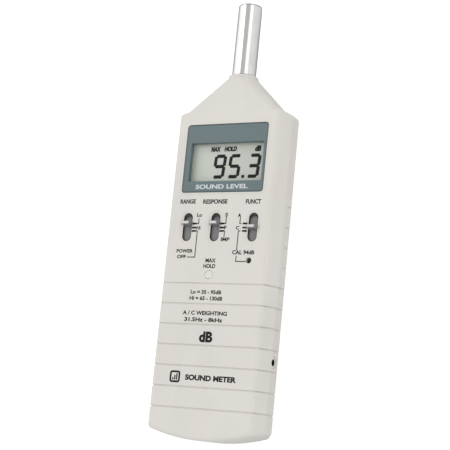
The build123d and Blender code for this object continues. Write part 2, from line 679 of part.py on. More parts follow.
def make_knob(name):
    """A knob: the plate that covers the slot from behind and the ridge for the thumb."""
    x = SLOT_X[name]
    y = knob_y(name)
    ridge_width, ridge_length = KNOB_RIDGE
    peg_width, peg_length = PEG_SIZE
    plate = rounded_plate(KNOB_PLATE_SIZE, (x, y), KNOB_PLATE_Z, PLATE_CORNER)
    base = Pos(x, y, KNOB_PLATE_Z[1]) * Rectangle(ridge_width, ridge_length)
    top = Pos(x, y, KNOB_TOP_Z) * Rectangle(ridge_width - RIDGE_TAPER[0], ridge_length - RIDGE_TAPER[1])
    ridge = loft([base, top], ruled=True)
    crest = ridge.edges().filter_by_position(Axis.Z, KNOB_TOP_Z - 0.01, KNOB_TOP_Z + 0.01)
    ridge = fillet(crest, RIDGE_ROUNDING)
    socket = block(around(x, peg_width + PEG_GAP), around(y, peg_length + PEG_GAP),
                   (KNOB_PLATE_Z[0] - 1.0, KNOB_PLATE_Z[1] + PEG_HEIGHT + 0.1))
    return plate + ridge - socket


def make_max_hold_button():
    """The round push button with the flange that keeps it behind the face."""
    stem = post(BUTTON_SPOT, BUTTON_RADIUS, (BUTTON_BOTTOM_Z, FACE_Z + BUTTON_PROUD))
    rim = stem.edges().filter_by_position(Axis.Z, FACE_Z, FACE_Z + 2 * BUTTON_PROUD)
    flange = post(BUTTON_SPOT, BUTTON_FLANGE_RADIUS, (BUTTON_BOTTOM_Z, BUTTON_FLANGE_TOP_Z))
    return fillet(rim, BUTTON_ROUNDING) + flange


def make_hold_switch():
    """The tact switch under the button."""
    top = BOARD_TOP_Z + TACT_HEIGHT
    body = block(around(BUTTON_SPOT[0], TACT_SIZE), around(BUTTON_SPOT[1], TACT_SIZE), (BOARD_TOP_Z, top))
    return body - post(BUTTON_SPOT, PLUNGER_RADIUS + RUNNING_GAP,
                       (BOARD_TOP_Z + PLUNGER_BORE_FLOOR, top + 1.0))


def make_hold_plunger():
    """The tact switch's plunger, which the button rests on."""
    return post(BUTTON_SPOT, PLUNGER_RADIUS, (BOARD_TOP_Z + PLUNGER_FOOT, BUTTON_BOTTOM_Z))


def make_cal_trimmer():
    """The calibration potentiometer's body."""
    top = BOARD_TOP_Z + TRIMMER_HEIGHT
    body = block(around(TRIMMER_SPOT[0], TRIMMER_SIZE), around(TRIMMER_SPOT[1], TRIMMER_SIZE),
                 (BOARD_TOP_Z, top))
    return body - post(TRIMMER_SPOT, ROTOR_RADIUS + RUNNING_GAP, (BOARD_TOP_Z + 1.0, top + 1.0))


def make_trimmer_rotor():
    """The potentiometer's rotor with its screwdriver slot."""
    rotor = post(TRIMMER_SPOT, ROTOR_RADIUS, (BOARD_TOP_Z + 1.1, ROTOR_TOP_Z))
    x, y = TRIMMER_SPOT
    length, width, depth = ROTOR_SLOT
    return rotor - block(around(x, length), around(y, width), (ROTOR_TOP_Z - depth, ROTOR_TOP_Z + 1.0))


def make_output_jack():
    """The output socket: a body under the board's tongue and a nose in the side wall."""
    length, width, height = JACK_BODY
    back_x = JACK_NOSE_END_X - JACK_BORE_DEPTH - JACK_BACK_WALL
    z_span = (BOARD_BOTTOM_Z - height, BOARD_BOTTOM_Z)
    body = block((back_x, back_x + length), around(JACK_Y, width), z_span)
    start = back_x + length - 1.0
    turned = Rot(0, 90, 0)
    nose_length = JACK_NOSE_END_X - start
    nose = Pos(start + nose_length / 2, JACK_Y, PARTING_Z) * turned * Cylinder(JACK_NOSE_RADIUS, nose_length)
    bore_x = JACK_NOSE_END_X - JACK_BORE_DEPTH / 2
    bore = Pos(bore_x, JACK_Y, PARTING_Z) * turned * Cylinder(JACK_BORE_RADIUS, JACK_BORE_DEPTH)
    return body + nose - bore


def hanging(spot, size):
    """A block that hangs under the board at a spot in plan."""
    width, length, height = size
    return block(around(spot[0], width), around(spot[1], length), (BOARD_BOTTOM_Z - height, BOARD_BOTTOM_Z))


def row(spot, pitch, count):
    """The spots of a row that runs down the board from its first one."""
    return [(spot[0], spot[1] - pitch * index) for index in range(count)]


def make_processor_chip():
    """The flat square chip under the board."""
    return hanging(PROCESSOR_SPOT, PROCESSOR_SIZE)


def make_amplifier_chips():
    """The small chips of the measuring amplifier."""
    spots = row(AMPLIFIER_SPOT, AMPLIFIER_PITCH, AMPLIFIER_COUNT)
    return Compound(children=[hanging(spot, AMPLIFIER_SIZE) for spot in spots])


def make_capacitors():
    """The electrolytic capacitors under the board."""
    z_span = (BOARD_BOTTOM_Z - CAPACITOR_HEIGHT, BOARD_BOTTOM_Z)
    spots = row(CAPACITOR_SPOT, CAPACITOR_PITCH, CAPACITOR_COUNT)
    return Compound(children=[post(spot, CAPACITOR_RADIUS, z_span) for spot in spots])


def make_quartz_crystal():
    """The clock crystal's can, lying under the board."""
    width, length, height = CRYSTAL_SIZE
    z_span = (BOARD_BOTTOM_Z - height, BOARD_BOTTOM_Z)
    return rounded_plate((width, length), CRYSTAL_SPOT, z_span, CRYSTAL_CORNER)


def make_voltage_regulator():
    """The supply regulator."""
    return hanging(REGULATOR_SPOT, REGULATOR_SIZE)


# ---- microphone ---------------------------------------------------------------------------
def make_microphone_tube():
    """The polished tube that carries the capsule."""
    end = TIP_Y - GRID_LENGTH
    root = mic_rod(MIC_ROOT_RADIUS, (MIC_TUBE_START_Y, COLLAR_END_Y + 0.5))
    tube = root + mic_rod(MIC_RADIUS, (COLLAR_END_Y, end))
    return tube - mic_rod(MIC_BORE_RADIUS, (MIC_TUBE_START_Y - 1.0, end + 1.0))


def make_microphone_grid():
    """The protection grid: a cap screwed on the tube, slotted across its end."""
    base = TIP_Y - GRID_LENGTH
    cap = mic_rod(MIC_RADIUS, (base, TIP_Y))
    rim = cap.edges().filter_by_position(Axis.Y, TIP_Y - 0.01, TIP_Y + 0.01)
    cap = fillet(rim, GRID_ROUNDING) + mic_rod(MIC_BORE_RADIUS - 0.05, (base - GRID_PLUG, base))
    cap = cap - mic_rod(MIC_BORE_RADIUS - GRID_WALL, (base - GRID_PLUG - 1.0, TIP_Y - GRID_WALL))
    middle = (GRID_SLOT_COUNT - 1) / 2
    for index in range(GRID_SLOT_COUNT):
        x = (index - middle) * GRID_SLOT_PITCH
        half = math.sqrt(GRID_FACE_RADIUS ** 2 - x ** 2)
        cap = cap - block(around(x, GRID_SLOT_WIDTH), (base - 1.0, TIP_Y + 1.0), around(AXIS_Z, 2 * half))
    return cap


def make_microphone_capsule():
    """The electret capsule behind the grid."""
    return mic_rod(MIC_BORE_RADIUS - 1.0, CAPSULE_Y)


def make_capsule_insulator():
    """The insulating ring that centres the capsule's contact."""
    start = CAPSULE_Y[0] - INSULATOR_LENGTH
    ring = mic_rod(MIC_BORE_RADIUS - 0.05, (start, CAPSULE_Y[0]))
    return ring - mic_rod(CONTACT_RADIUS + 0.05, (start - 1.0, CAPSULE_Y[0] + 1.0))


def make_capsule_contact():
    """The sprung contact pin through the insulator."""
    return mic_rod(CONTACT_RADIUS, (CAPSULE_Y[0] - CONTACT_LENGTH, CAPSULE_Y[0]))


def make_preamp_board():
    """The narrow preamplifier board inside the tube."""
    y_span = (PREAMP_START_Y, CAPSULE_Y[0] - CONTACT_LENGTH)
    return block(around(0, PREAMP_WIDTH), y_span, around(AXIS_Z, PREAMP_THICKNESS))


def make_o_ring():
    """The seal around the tube in the neck."""
    place = Plane(origin=(0, O_RING_Y, AXIS_Z), z_dir=(0, 1, 0))
    return place * Torus(MIC_ROOT_RADIUS + O_RING_SECTION + 0.02, O_RING_SECTION)


def make_microphone_leads():
    """The three wires from the preamplifier to the main board."""
    board_z = BOARD_BOTTOM_Z - MIC_LEAD_RADIUS - 0.05
    start = PREAMP_START_Y - 0.1
    wires = []
    for index in (-1, 0, 1):
        x = index * MIC_LEAD_PITCH
        points = [(x, start, AXIS_Z), (x, start - 12.9, AXIS_Z), (x, start - 19.9, board_z),
                  (x, start - 26.9, board_z)]
        wires.append(wire(points, LEAD_BEND, MIC_LEAD_RADIUS))
    return Compound(children=wires)


# ---- battery ------------------------------------------------------------------------------
def battery_body_top():
    """The Y of the battery's shoulder, where its terminals start."""
    return BATTERY_LOW_Y + BATTERY_SIZE[1] - BATTERY_TERMINAL


def make_battery():
    """The nine-volt block with its two snap terminals."""
    width, _, height = BATTERY_SIZE
    top_y = battery_body_top()
    z_span = (BATTERY_BOTTOM_Z, BATTERY_BOTTOM_Z + height)
    can = block(around(0, width), (BATTERY_LOW_Y, top_y), z_span)
    can = fillet(can.edges().filter_by(Axis.Y), BATTERY_ROUNDING)
    middle_z = BATTERY_BOTTOM_Z + height / 2
    for x, radius in TERMINALS:
        place = Pos(x, top_y + BATTERY_TERMINAL / 2, middle_z)
        can = can + place * Rot(90, 0, 0) * Cylinder(radius, BATTERY_TERMINAL)
    return can


def make_battery_snap():
    """The clip on the battery's terminals."""
    width, length, height = SNAP_SIZE
    low = battery_body_top() + SNAP_GAP
    middle_z = BATTERY_BOTTOM_Z + BATTERY_SIZE[2] / 2
    clip = block(around(0, width), (low, low + length), around(middle_z, height))
    for x, radius in TERMINALS:
        place = Pos(x, low + BATTERY_TERMINAL / 2 - SNAP_GAP, middle_z)
        clip = clip - place * Rot(90, 0, 0) * Cylinder(radius + SNAP_GAP, BATTERY_TERMINAL + 3 * SNAP_GAP)
    return clip


def make_battery_leads():
    """The two wires from the clip to the main board."""
    start = battery_body_top() + SNAP_GAP + SNAP_SIZE[1]
    board_z = BOARD_BOTTOM_Z - BATTERY_LEAD_RADIUS - 0.05
    wires = []
    for x in (-BATTERY_LEAD_X, BATTERY_LEAD_X):
        points = [(x, start, BATTERY_LEAD_Z), (x, -53.0, BATTERY_LEAD_Z), (x, -46.0, board_z),
                  (x, -39.0, board_z)]
        wires.append(wire(points, LEAD_BEND, BATTERY_LEAD_RADIUS))
    return Compound(children=wires)


def make_battery_pad():
    """The foam pad below the battery."""
    z_span = (BATTERY_BOTTOM_Z + 1.0, BATTERY_BOTTOM_Z + BATTERY_SIZE[2] - 1.0)
    return block(around(0, PAD_WIDTH), (WELL_Y[0], BATTERY_LOW_Y), z_span)


# ---- fasteners ----------------------------------------------------------------------------
def make_tripod_insert():
    """The threaded brass insert for a tripod screw."""
    insert = post(TRIPOD_SPOT, TRIPOD_OUTER_RADIUS, (0.0, TRIPOD_LENGTH))
    return insert - post(TRIPOD_SPOT, TRIPOD_RADIUS, (-1.0, TRIPOD_LENGTH + 1.0))


def make_case_screws():
    """The four cross-head screws that close the case."""
    length, width, depth = CASE_HEAD_CROSS
    screws = []
    for spot in CASE_SCREW_SPOTS:
        head = post(spot, CASE_HEAD_RADIUS, CASE_HEAD_Z)
        bottom = head.edges().filter_by_position(Axis.Z, CASE_HEAD_Z[0] - 0.01, CASE_HEAD_Z[0] + 0.01)
        shank = post(spot, CASE_SCREW_RADIUS, (CASE_HEAD_Z[1], CASE_SCREW_TOP_Z))
        x, y = spot
        cross_z = (0.0, CASE_HEAD_Z[0] + depth)
        cross = block(around(x, length), around(y, width), cross_z)
        cross = cross + block(around(x, width), around(y, length), cross_z)
        screws.append(fillet(bottom, CASE_HEAD_ROUNDING) + shank - cross)
    return Compound(children=screws)


def make_board_screws():
    """The four small screws that hold the board to the front shell."""
    length, width, depth = BOARD_HEAD_SLOT
    head_z = BOARD_BOTTOM_Z - BOARD_HEAD_HEIGHT
    screws = []
    for spot in BOARD_SCREW_SPOTS:
        head = post(spot, BOARD_HEAD_RADIUS, (head_z, BOARD_BOTTOM_Z))
        shank = post(spot, BOARD_SCREW_RADIUS, (BOARD_BOTTOM_Z, BOARD_SCREW_TOP_Z))
        x, y = spot
        slot = block(around(x, length), around(y, width), (head_z - 1.0, head_z + depth))
        screws.append(head + shank - slot)
    return Compound(children=screws)


def make_all():
    """Every part by its name."""
    outside = case_outside()
    hollow = case_hollow()
    parts = {
        "front_case": make_front_case(outside, hollow),
        "rear_case": make_rear_case(outside, hollow),
        "battery_door": make_battery_door(outside),
        "rear_label": make_rear_label(),
        "display_bezel": make_display_bezel(),
        "display_window": make_display_window(),
        "lcd_panel": make_lcd_panel(),
        "lcd_frame": make_lcd_frame(),
        "zebra_strips": make_zebra_strips(),
        "main_board": make_main_board(),
        "max_hold_button": make_max_hold_button(),
        "hold_switch": make_hold_switch(),
        "hold_switch_plunger": make_hold_plunger(),
        "cal_trimmer": make_cal_trimmer(),
        "cal_trimmer_rotor": make_trimmer_rotor(),
        "output_jack": make_output_jack(),
        "processor_chip": make_processor_chip(),
        "amplifier_chips": make_amplifier_chips(),
        "electrolytic_capacitors": make_capacitors(),
        "quartz_crystal": make_quartz_crystal(),
        "voltage_regulator": make_voltage_regulator(),
        "microphone_tube": make_microphone_tube(),
        "microphone_grid": make_microphone_grid(),
        "microphone_capsule": make_microphone_capsule(),
        "capsule_insulator": make_capsule_insulator(),
        "capsule_contact": make_capsule_contact(),
        "preamp_board": make_preamp_board(),
        "microphone_o_ring": make_o_ring(),
        "microphone_leads": make_microphone_leads(),
        "battery": make_battery(),
        "battery_snap": make_battery_snap(),
        "battery_leads": make_battery_leads(),
        "battery_pad": make_battery_pad(),
        "tripod_insert": make_tripod_insert(),
        "case_screws": make_case_screws(),
        "board_screws": make_board_screws(),
    }
    for name in SLOT_X:
        parts[name + "_switch"] = make_switch(name)
        parts[name + "_slider"] = make_slider(name)
        parts[name + "_knob"] = make_knob(name)
    return parts


os.makedirs("parts", exist_ok=True)
for part_name, part_solid in make_all().items():
    export_step(part_solid, f"parts/{part_name}.step")
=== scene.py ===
import json
import logging
import math
from dataclasses import dataclass
from enum import Enum
from typing import Callable, ClassVar

import bmesh
import bpy
from mathutils import Euler, Matrix, Vector


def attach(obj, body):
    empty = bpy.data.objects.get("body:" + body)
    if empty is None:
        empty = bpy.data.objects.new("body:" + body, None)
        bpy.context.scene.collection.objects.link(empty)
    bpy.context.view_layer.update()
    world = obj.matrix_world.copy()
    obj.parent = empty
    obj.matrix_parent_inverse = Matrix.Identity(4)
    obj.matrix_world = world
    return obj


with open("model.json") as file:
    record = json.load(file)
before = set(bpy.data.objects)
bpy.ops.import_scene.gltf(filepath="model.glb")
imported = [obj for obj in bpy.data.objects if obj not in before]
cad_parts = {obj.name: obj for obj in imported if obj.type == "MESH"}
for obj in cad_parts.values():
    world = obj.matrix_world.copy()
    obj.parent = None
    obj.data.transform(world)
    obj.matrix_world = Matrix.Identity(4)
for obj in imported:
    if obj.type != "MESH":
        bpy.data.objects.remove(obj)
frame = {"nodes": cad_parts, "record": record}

# A handheld sound level meter lying on its back: +Z comes out of the display face, +Y points to
# the microphone, +X is the right-hand side seen from the front.  Sizes in the classes below are
# in millimetres, as in the workshop drawing; MM turns them into the metres of the frame.

LOG = logging.getLogger("sound_level_meter")
MM = 0.001
FACE_Z = 25.0                  # the display face
AXIS_Z = 12.5                  # height of the microphone's axis
INK_THICKNESS = 0.03           # printed lettering stands out by this
INK_SUNK = 0.02                # and reaches this far under the surface
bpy.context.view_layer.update()          # brings the frame up to date, before anything is added

Colour = tuple[float, float, float]
Spot = tuple[float, float]
Value = float | tuple | bpy.types.NodeSocket


def srgb(red: int, green: int, blue: int) -> Colour:
    """A colour given on the usual scale of 255, as linear light.

    Args:
        red: Red, 0 to 255.
        green: Green, 0 to 255.
        blue: Blue, 0 to 255.

    Returns:
        The three linear values.
    """
    def linear(value: int) -> float:
        """One channel as linear light."""
        part = value / 255
        return part / 12.92 if part <= 0.04045 else ((part + 0.055) / 1.055) ** 2.4

    return linear(red), linear(green), linear(blue)


def shade(colour: Colour, factor: float) -> Colour:
    """A colour made lighter or darker by a factor, kept below full white."""
    return tuple(min(channel * factor, 0.98) for channel in colour)


# ---- materials ----------------------------------------------------------------------------


class NodeSheet:
    """The node tree of one material, laid out by short calls."""

    def __init__(self, name: str) -> None:
        """Starts a material that has its shader and the piece's own coordinates.

        Args:
            name: The material's name.
        """
        self.material = bpy.data.materials.new(name)
        self.material.use_nodes = True
        tree = self.material.node_tree
        self.nodes, self.links = tree.nodes, tree.links
        self.shader = self.nodes["Principled BSDF"]
        self.place = self.nodes.new("ShaderNodeTexCoord").outputs["Object"]
        self.relief: bpy.types.NodeSocket | None = None

    def feed(self, socket: bpy.types.NodeSocket, value: Value) -> None:
        """Links a socket, or sets it when the value is plain.

        Args:
            socket: The input that is fed.
            value: Another node's output, a number, or a colour.
        """
        if isinstance(value, bpy.types.NodeSocket):
            self.links.new(value, socket)
        elif isinstance(value, tuple) and socket.type == "RGBA":
            socket.default_value = (*value, 1.0)
        else:
            socket.default_value = value

    def put(self, name: str, value: Value) -> None:
        """Feeds one input of the shader by its name."""
        self.feed(self.shader.inputs[name], value)

    def shifted(self, stretch: tuple, shift: tuple = (0.0, 0.0, 0.0)) -> bpy.types.NodeSocket:
        """The piece's coordinates moved by a shift in millimetres and then stretched.

        Args:
            stretch: Factor along each axis.
            shift: What is added along each axis, before the stretch.

        Returns:
            The coordinates.
        """
        node = self.nodes.new("ShaderNodeMapping")
        node.inputs["Scale"].default_value = stretch
        node.inputs["Location"].default_value = [s * k * MM for s, k in zip(shift, stretch)]
        self.links.new(self.place, node.inputs["Vector"])
        return node.outputs["Vector"]

    def noise(self, size: float, detail: float = 3.0, stretch: tuple = (1.0, 1.0, 1.0),
              shift: tuple = (0.0, 0.0, 0.0), rough: float = 0.55) -> bpy.types.NodeSocket:
        """Soft random variation.

        Args:
            size: Size of its features in millimetres.
            detail: How many finer layers it has.
            stretch: Factor along each axis; a small one draws the features out.
            shift: Where it is taken from, in millimetres.
            rough: How strong the finer layers are.

        Returns:
            A value around one half.
        """
        node = self.nodes.new("ShaderNodeTexNoise")
        self.links.new(self.shifted(stretch, shift), node.inputs["Vector"])
        node.inputs["Scale"].default_value = 1 / (size * MM)
        node.inputs["Detail"].default_value = detail
        node.inputs["Roughness"].default_value = rough
        return node.outputs["Fac"]

    def cells(self, size: float, stretch: tuple = (1.0, 1.0, 1.0),
              feature: str = "F1") -> bpy.types.NodeSocket:
        """Distance in a pattern of random cells.

        Args:
            size: Size of a cell in millimetres.
            stretch: Factor along each axis.
            feature: Which distance is measured.

        Returns:
            The distance, in cells.
        """
        node = self.nodes.new("ShaderNodeTexVoronoi")
        node.feature = feature
        self.links.new(self.shifted(stretch), node.inputs["Vector"])
        node.inputs["Scale"].default_value = 1 / (size * MM)
        return node.outputs["Distance"]

    def waves(self, pitch: float, axis: str, distortion: float = 0.0,
              shift: tuple = (0.0, 0.0, 0.0)) -> bpy.types.NodeSocket:
        """Even ridges across one axis.

        Args:
            pitch: From one ridge to the next, in millimetres.
            axis: The axis that they follow each other along.
            distortion: How crooked they are.
            shift: Where they start, in millimetres.

        Returns:
            A value from 0 to 1.
        """
        node = self.nodes.new("ShaderNodeTexWave")
        node.bands_direction = axis
        self.links.new(self.shifted((1.0, 1.0, 1.0), shift), node.inputs["Vector"])
        node.inputs["Scale"].default_value = math.tau / (20 * pitch * MM)
        node.inputs["Distortion"].default_value = distortion
        return node.outputs["Fac"]

    def axis(self, letter: str) -> bpy.types.NodeSocket:
        """One of the piece's own coordinates, in metres."""
        node = self.nodes.new("ShaderNodeSeparateXYZ")
        self.links.new(self.place, node.inputs["Vector"])
        return node.outputs[letter]

    def millimetres(self, letter: str) -> bpy.types.NodeSocket:
        """One of the piece's coordinates in millimetres."""
        return self.sum("DIVIDE", self.axis(letter), MM)

    def tones(self, factor: Value, colour: Colour, low: float, high: float) -> bpy.types.NodeSocket:
        """One colour that goes from a darker to a lighter tone.

        Args:
            factor: Where it is between the two.
            colour: The colour.
            low: How much of it the first tone has.
            high: How much of it the second tone has.

        Returns:
            The colour.
        """
        return self.blend(factor, shade(colour, low), shade(colour, high))

    def sum(self, operation: str, first: Value, second: Value = 0.0) -> bpy.types.NodeSocket:
        """One step of arithmetic.

        Args:
            operation: The name of the step.
            first: Its first value.
            second: Its second value.

        Returns:
            The result.
        """
        node = self.nodes.new("ShaderNodeMath")
        node.operation = operation
        self.feed(node.inputs[0], first)
        self.feed(node.inputs[1], second)
        return node.outputs[0]

    def span(self, value: Value, low: float, high: float, bottom: float = 0.0,
             top: float = 1.0) -> bpy.types.NodeSocket:
        """A value carried from one range to another, smoothly and without overshoot.

        Args:
            value: What is carried over.
            low: Where the first range starts.
            high: Where it ends.
            bottom: Where the second range starts.
            top: Where it ends.

        Returns:
            The new value.
        """
        node = self.nodes.new("ShaderNodeMapRange")
        node.interpolation_type = "SMOOTHSTEP"
        self.feed(node.inputs["Value"], value)
        for name, limit in (("From Min", low), ("From Max", high), ("To Min", bottom), ("To Max", top)):
            node.inputs[name].default_value = limit
        return node.outputs["Result"]

    def blend(self, factor: Value, first: Value, second: Value) -> bpy.types.NodeSocket:
        """Two colours blended.

        Args:
            factor: 0 for the first colour, 1 for the second.
            first: The first colour.
            second: The second colour.

        Returns:
            The blended colour.
        """
        node = self.nodes.new("ShaderNodeMix")
        node.data_type = "RGBA"
        self.feed(node.inputs["Factor"], factor)
        self.feed(node.inputs[6], first)
        self.feed(node.inputs[7], second)
        return node.outputs[2]

    def emboss(self, height: Value, depth: float, strength: float = 1.0) -> None:
        """Adds one layer of relief to the surface.

        Args:
            height: The relief, from 0 to 1.
            depth: What 1 stands for, in millimetres.
            strength: How much of it shows.
        """
        node = self.nodes.new("ShaderNodeBump")
        node.inputs["Distance"].default_value = depth * MM
        node.inputs["Strength"].default_value = strength
        self.feed(node.inputs["Height"], height)
        if self.relief is not None:
            self.links.new(self.relief, node.inputs["Normal"])
        self.relief = node.outputs["Normal"]
        self.links.new(self.relief, self.shader.inputs["Normal"])


@dataclass(frozen=True)
class Finish:
    """A surface finish; each kind lays its own nodes on the sheet.

    Args:
        name: The material's name.
    """

    name: str

    def material(self) -> bpy.types.Material:
        """Makes the material."""
        sheet = NodeSheet(self.name)
        self.lay(sheet)
        return sheet.material

    def lay(self, sheet: NodeSheet) -> None:
        """Lays the finish on the material's sheet."""
        raise NotImplementedError


@dataclass(frozen=True)
class MouldedPlastic(Finish):
    """Injection-moulded plastic with a spark-eroded texture.

    Args:
        colour: Its colour.
        grain: Size of the texture's grain in millimetres.
        grain_depth: Depth of the grain in millimetres.
        roughness: How matt it is.
        mottle: How much its colour varies.
    """

    colour: Colour
    grain: float = 0.35
    grain_depth: float = 0.010
    roughness: float = 0.42
    mottle: float = 0.03

    def lay(self, sheet: NodeSheet) -> None:
        """Lays the colour, the gloss and the marks."""
        broad = sheet.noise(38.0, detail=2.0)
        flow = sheet.noise(9.0, detail=3.0, stretch=(1.0, 0.25, 1.0), shift=(7.0, 3.0, 5.0))
        grain = sheet.noise(self.grain, detail=2.0, rough=0.6)
        dust = sheet.noise(2.2, detail=4.0, shift=(31.0, 11.0, 0.0))
        tone = sheet.sum("ADD", sheet.sum("MULTIPLY", broad, 0.6), sheet.sum("MULTIPLY", flow, 0.4))
        light = sheet.span(tone, 0.35, 0.65)
        base = sheet.tones(light, self.colour, 1 - self.mottle, 1 + self.mottle)
        warm = tuple(channel * factor for channel, factor in zip(self.colour, (1.0, 0.985, 0.955)))
        base = sheet.blend(sheet.span(flow, 0.45, 0.75, 0.0, 0.5), base, warm)
        base = sheet.blend(sheet.span(grain, 0.62, 0.85, 0.0, 0.22), base, shade(self.colour, 0.86))
        sheet.put("Base Color", base)
        sheet.put("Roughness", sheet.span(dust, 0.3, 0.7, self.roughness - 0.06, self.roughness + 0.08))
        sheet.put("Specular IOR Level", 0.45)
        sheet.emboss(grain, self.grain_depth, 0.7)
        sheet.emboss(sheet.noise(4.5, detail=1.0, shift=(0.0, 17.0, 9.0)), 0.02, 0.25)


@dataclass(frozen=True)
class PaleCrestPlastic(MouldedPlastic):
    """The knobs' plastic, made paler along the top of the ridge's crest.

    Args:
        crest_colour: The pale crest's colour.
        crest_z: Height where the pale crest starts, in millimetres.
    """

    crest_colour: Colour = srgb(212, 212, 208)
    crest_z: float = 27.9

    def lay(self, sheet: NodeSheet) -> None:
        """Makes the plastic and makes the crest of the ridge paler above a given height."""
        super().lay(sheet)
        height = sheet.millimetres("Z")
        ragged = sheet.noise(0.7, detail=3.0, shift=(3.0, 0.0, 0.0))
        edge = sheet.sum("ADD", height, sheet.span(ragged, 0.3, 0.7, -0.05, 0.05))
        # The crest above this height is made paler.
        line = sheet.span(edge, self.crest_z, self.crest_z + 0.09)
        plain = sheet.shader.inputs["Base Color"].links[0].from_socket
        sheet.put("Base Color", sheet.blend(line, plain, self.crest_colour))


@dataclass(frozen=True)
class PolishedTube(Finish):
    """Bright plated metal drawn and polished along its length.

    Args:
        colour: Its colour.
        roughness: How much it blurs what it mirrors.
    """

    colour: Colour
    roughness: float = 0.07

    def lay(self, sheet: NodeSheet) -> None:
        """Makes the metal, with fine drawing lines and faint handling marks."""
        lines = sheet.noise(0.5, detail=3.0, stretch=(1.0, 0.02, 1.0))
        haze = sheet.noise(6.0, detail=4.0, stretch=(1.0, 0.6, 1.0), shift=(5.0, 9.0, 2.0))
        sheet.put("Metallic", 1.0)
        sheet.put("Base Color", sheet.blend(sheet.span(haze, 0.3, 0.7), shade(self.colour, 0.96),
                                            shade(self.colour, 1.03)))
        sheet.put("Roughness", sheet.span(haze, 0.35, 0.75, self.roughness, self.roughness + 0.07))
        sheet.put("Specular Tint", (0.45, 0.45, 0.45))
        sheet.emboss(lines, 0.0015, 0.35)


@dataclass(frozen=True)
class WorkedMetal(Finish):
    """Turned, stamped or plated metal with tool marks.

    Args:
        colour: Its colour.
        roughness: How dull it is.
        marks: Stretch of the tool marks along each axis.
        tarnish: Colour of the dull patches.
    """

    colour: Colour
    roughness: float = 0.3
    marks: tuple = (1.0, 0.05, 1.0)
    tarnish: Colour = srgb(92, 88, 80)

    def lay(self, sheet: NodeSheet) -> None:
        """Lays the colour, the gloss and the marks."""
        marks = sheet.noise(0.25, detail=3.0, stretch=self.marks)
        patches = sheet.noise(3.0, detail=5.0, shift=(2.0, 8.0, 4.0))
        dull = sheet.span(patches, 0.55, 0.8, 0.0, 0.35)
        sheet.put("Metallic", 1.0)
        sheet.put("Base Color", sheet.blend(dull, self.colour, self.tarnish))
        sheet.put("Roughness", sheet.span(marks, 0.2, 0.8, self.roughness, self.roughness + 0.2))
        sheet.emboss(marks, 0.006, 0.5)


@dataclass(frozen=True)
class ThreadedBrass(WorkedMetal):
    """Brass whose bore shows the turns of its thread by relief and by painted shade in the thread's
    roots; the bore is smooth.

    Args:
        thread_pitch: From one turn to the next, in millimetres.
        bore_centre: Where the bore is in plan, in millimetres.
        bore_radius: The bore's radius, in millimetres.
    """

    thread_pitch: float = 1.27
    bore_centre: Spot = (0.0, -20.0)
    bore_radius: float = 2.55

    def lay(self, sheet: NodeSheet) -> None:
        """Makes the brass, with the turns inside the bore only."""
        super().lay(sheet)
        across = sheet.sum("SUBTRACT", sheet.axis("X"), self.bore_centre[0] * MM)
        along = sheet.sum("SUBTRACT", sheet.axis("Y"), self.bore_centre[1] * MM)
        out = sheet.sum("SQRT", sheet.sum("ADD", sheet.sum("MULTIPLY", across, across),
                                          sheet.sum("MULTIPLY", along, along)))
        inside = sheet.span(out, (self.bore_radius + 0.02) * MM, (self.bore_radius + 0.12) * MM,
                            1.0, 0.0)
        turn = sheet.sum("DIVIDE", sheet.sum("ARCTAN2", along, across), math.tau)
        climb = sheet.sum("DIVIDE", sheet.axis("Z"), self.thread_pitch * MM)
        crest = sheet.sum("PINGPONG", sheet.sum("ADD", climb, turn), 0.5)
        thread = sheet.sum("MULTIPLY", sheet.span(crest, 0.05, 0.45), inside)
        # Painted shade: the roots of the thread are painted darker.
        root = sheet.sum("MULTIPLY", sheet.span(crest, 0.05, 0.3, 0.75, 0.0), inside)
        plain = sheet.shader.inputs["Base Color"].links[0].from_socket
        sheet.put("Base Color", sheet.blend(root, plain, shade(self.colour, 0.25)))
        sheet.emboss(thread, 0.5, 1.0)


@dataclass(frozen=True)
class ClearPane(Finish):
    """A clear acrylic window with a hard coat and hairline scratches.

    Args:
        tint: The faint colour of its body.
        cover: How much of it is seen rather than seen through.
    """

    tint: Colour
    cover: float = 0.012

    def lay(self, sheet: NodeSheet) -> None:
        """Makes the pane: nearly all see-through, with its shine on top."""
        hairs = sheet.noise(0.6, detail=5.0, stretch=(0.08, 1.0, 1.0), rough=0.7)
        smears = sheet.noise(14.0, detail=2.0)
        sheet.put("Base Color", sheet.tones(sheet.span(smears, 0.3, 0.7), self.tint, 0.97, 1.0))
        sheet.put("Roughness", sheet.span(hairs, 0.6, 0.85, 0.04, 0.16))
        sheet.put("Alpha", self.cover)
        sheet.put("Specular IOR Level", 0.7)
        sheet.emboss(hairs, 0.0008, 0.3)


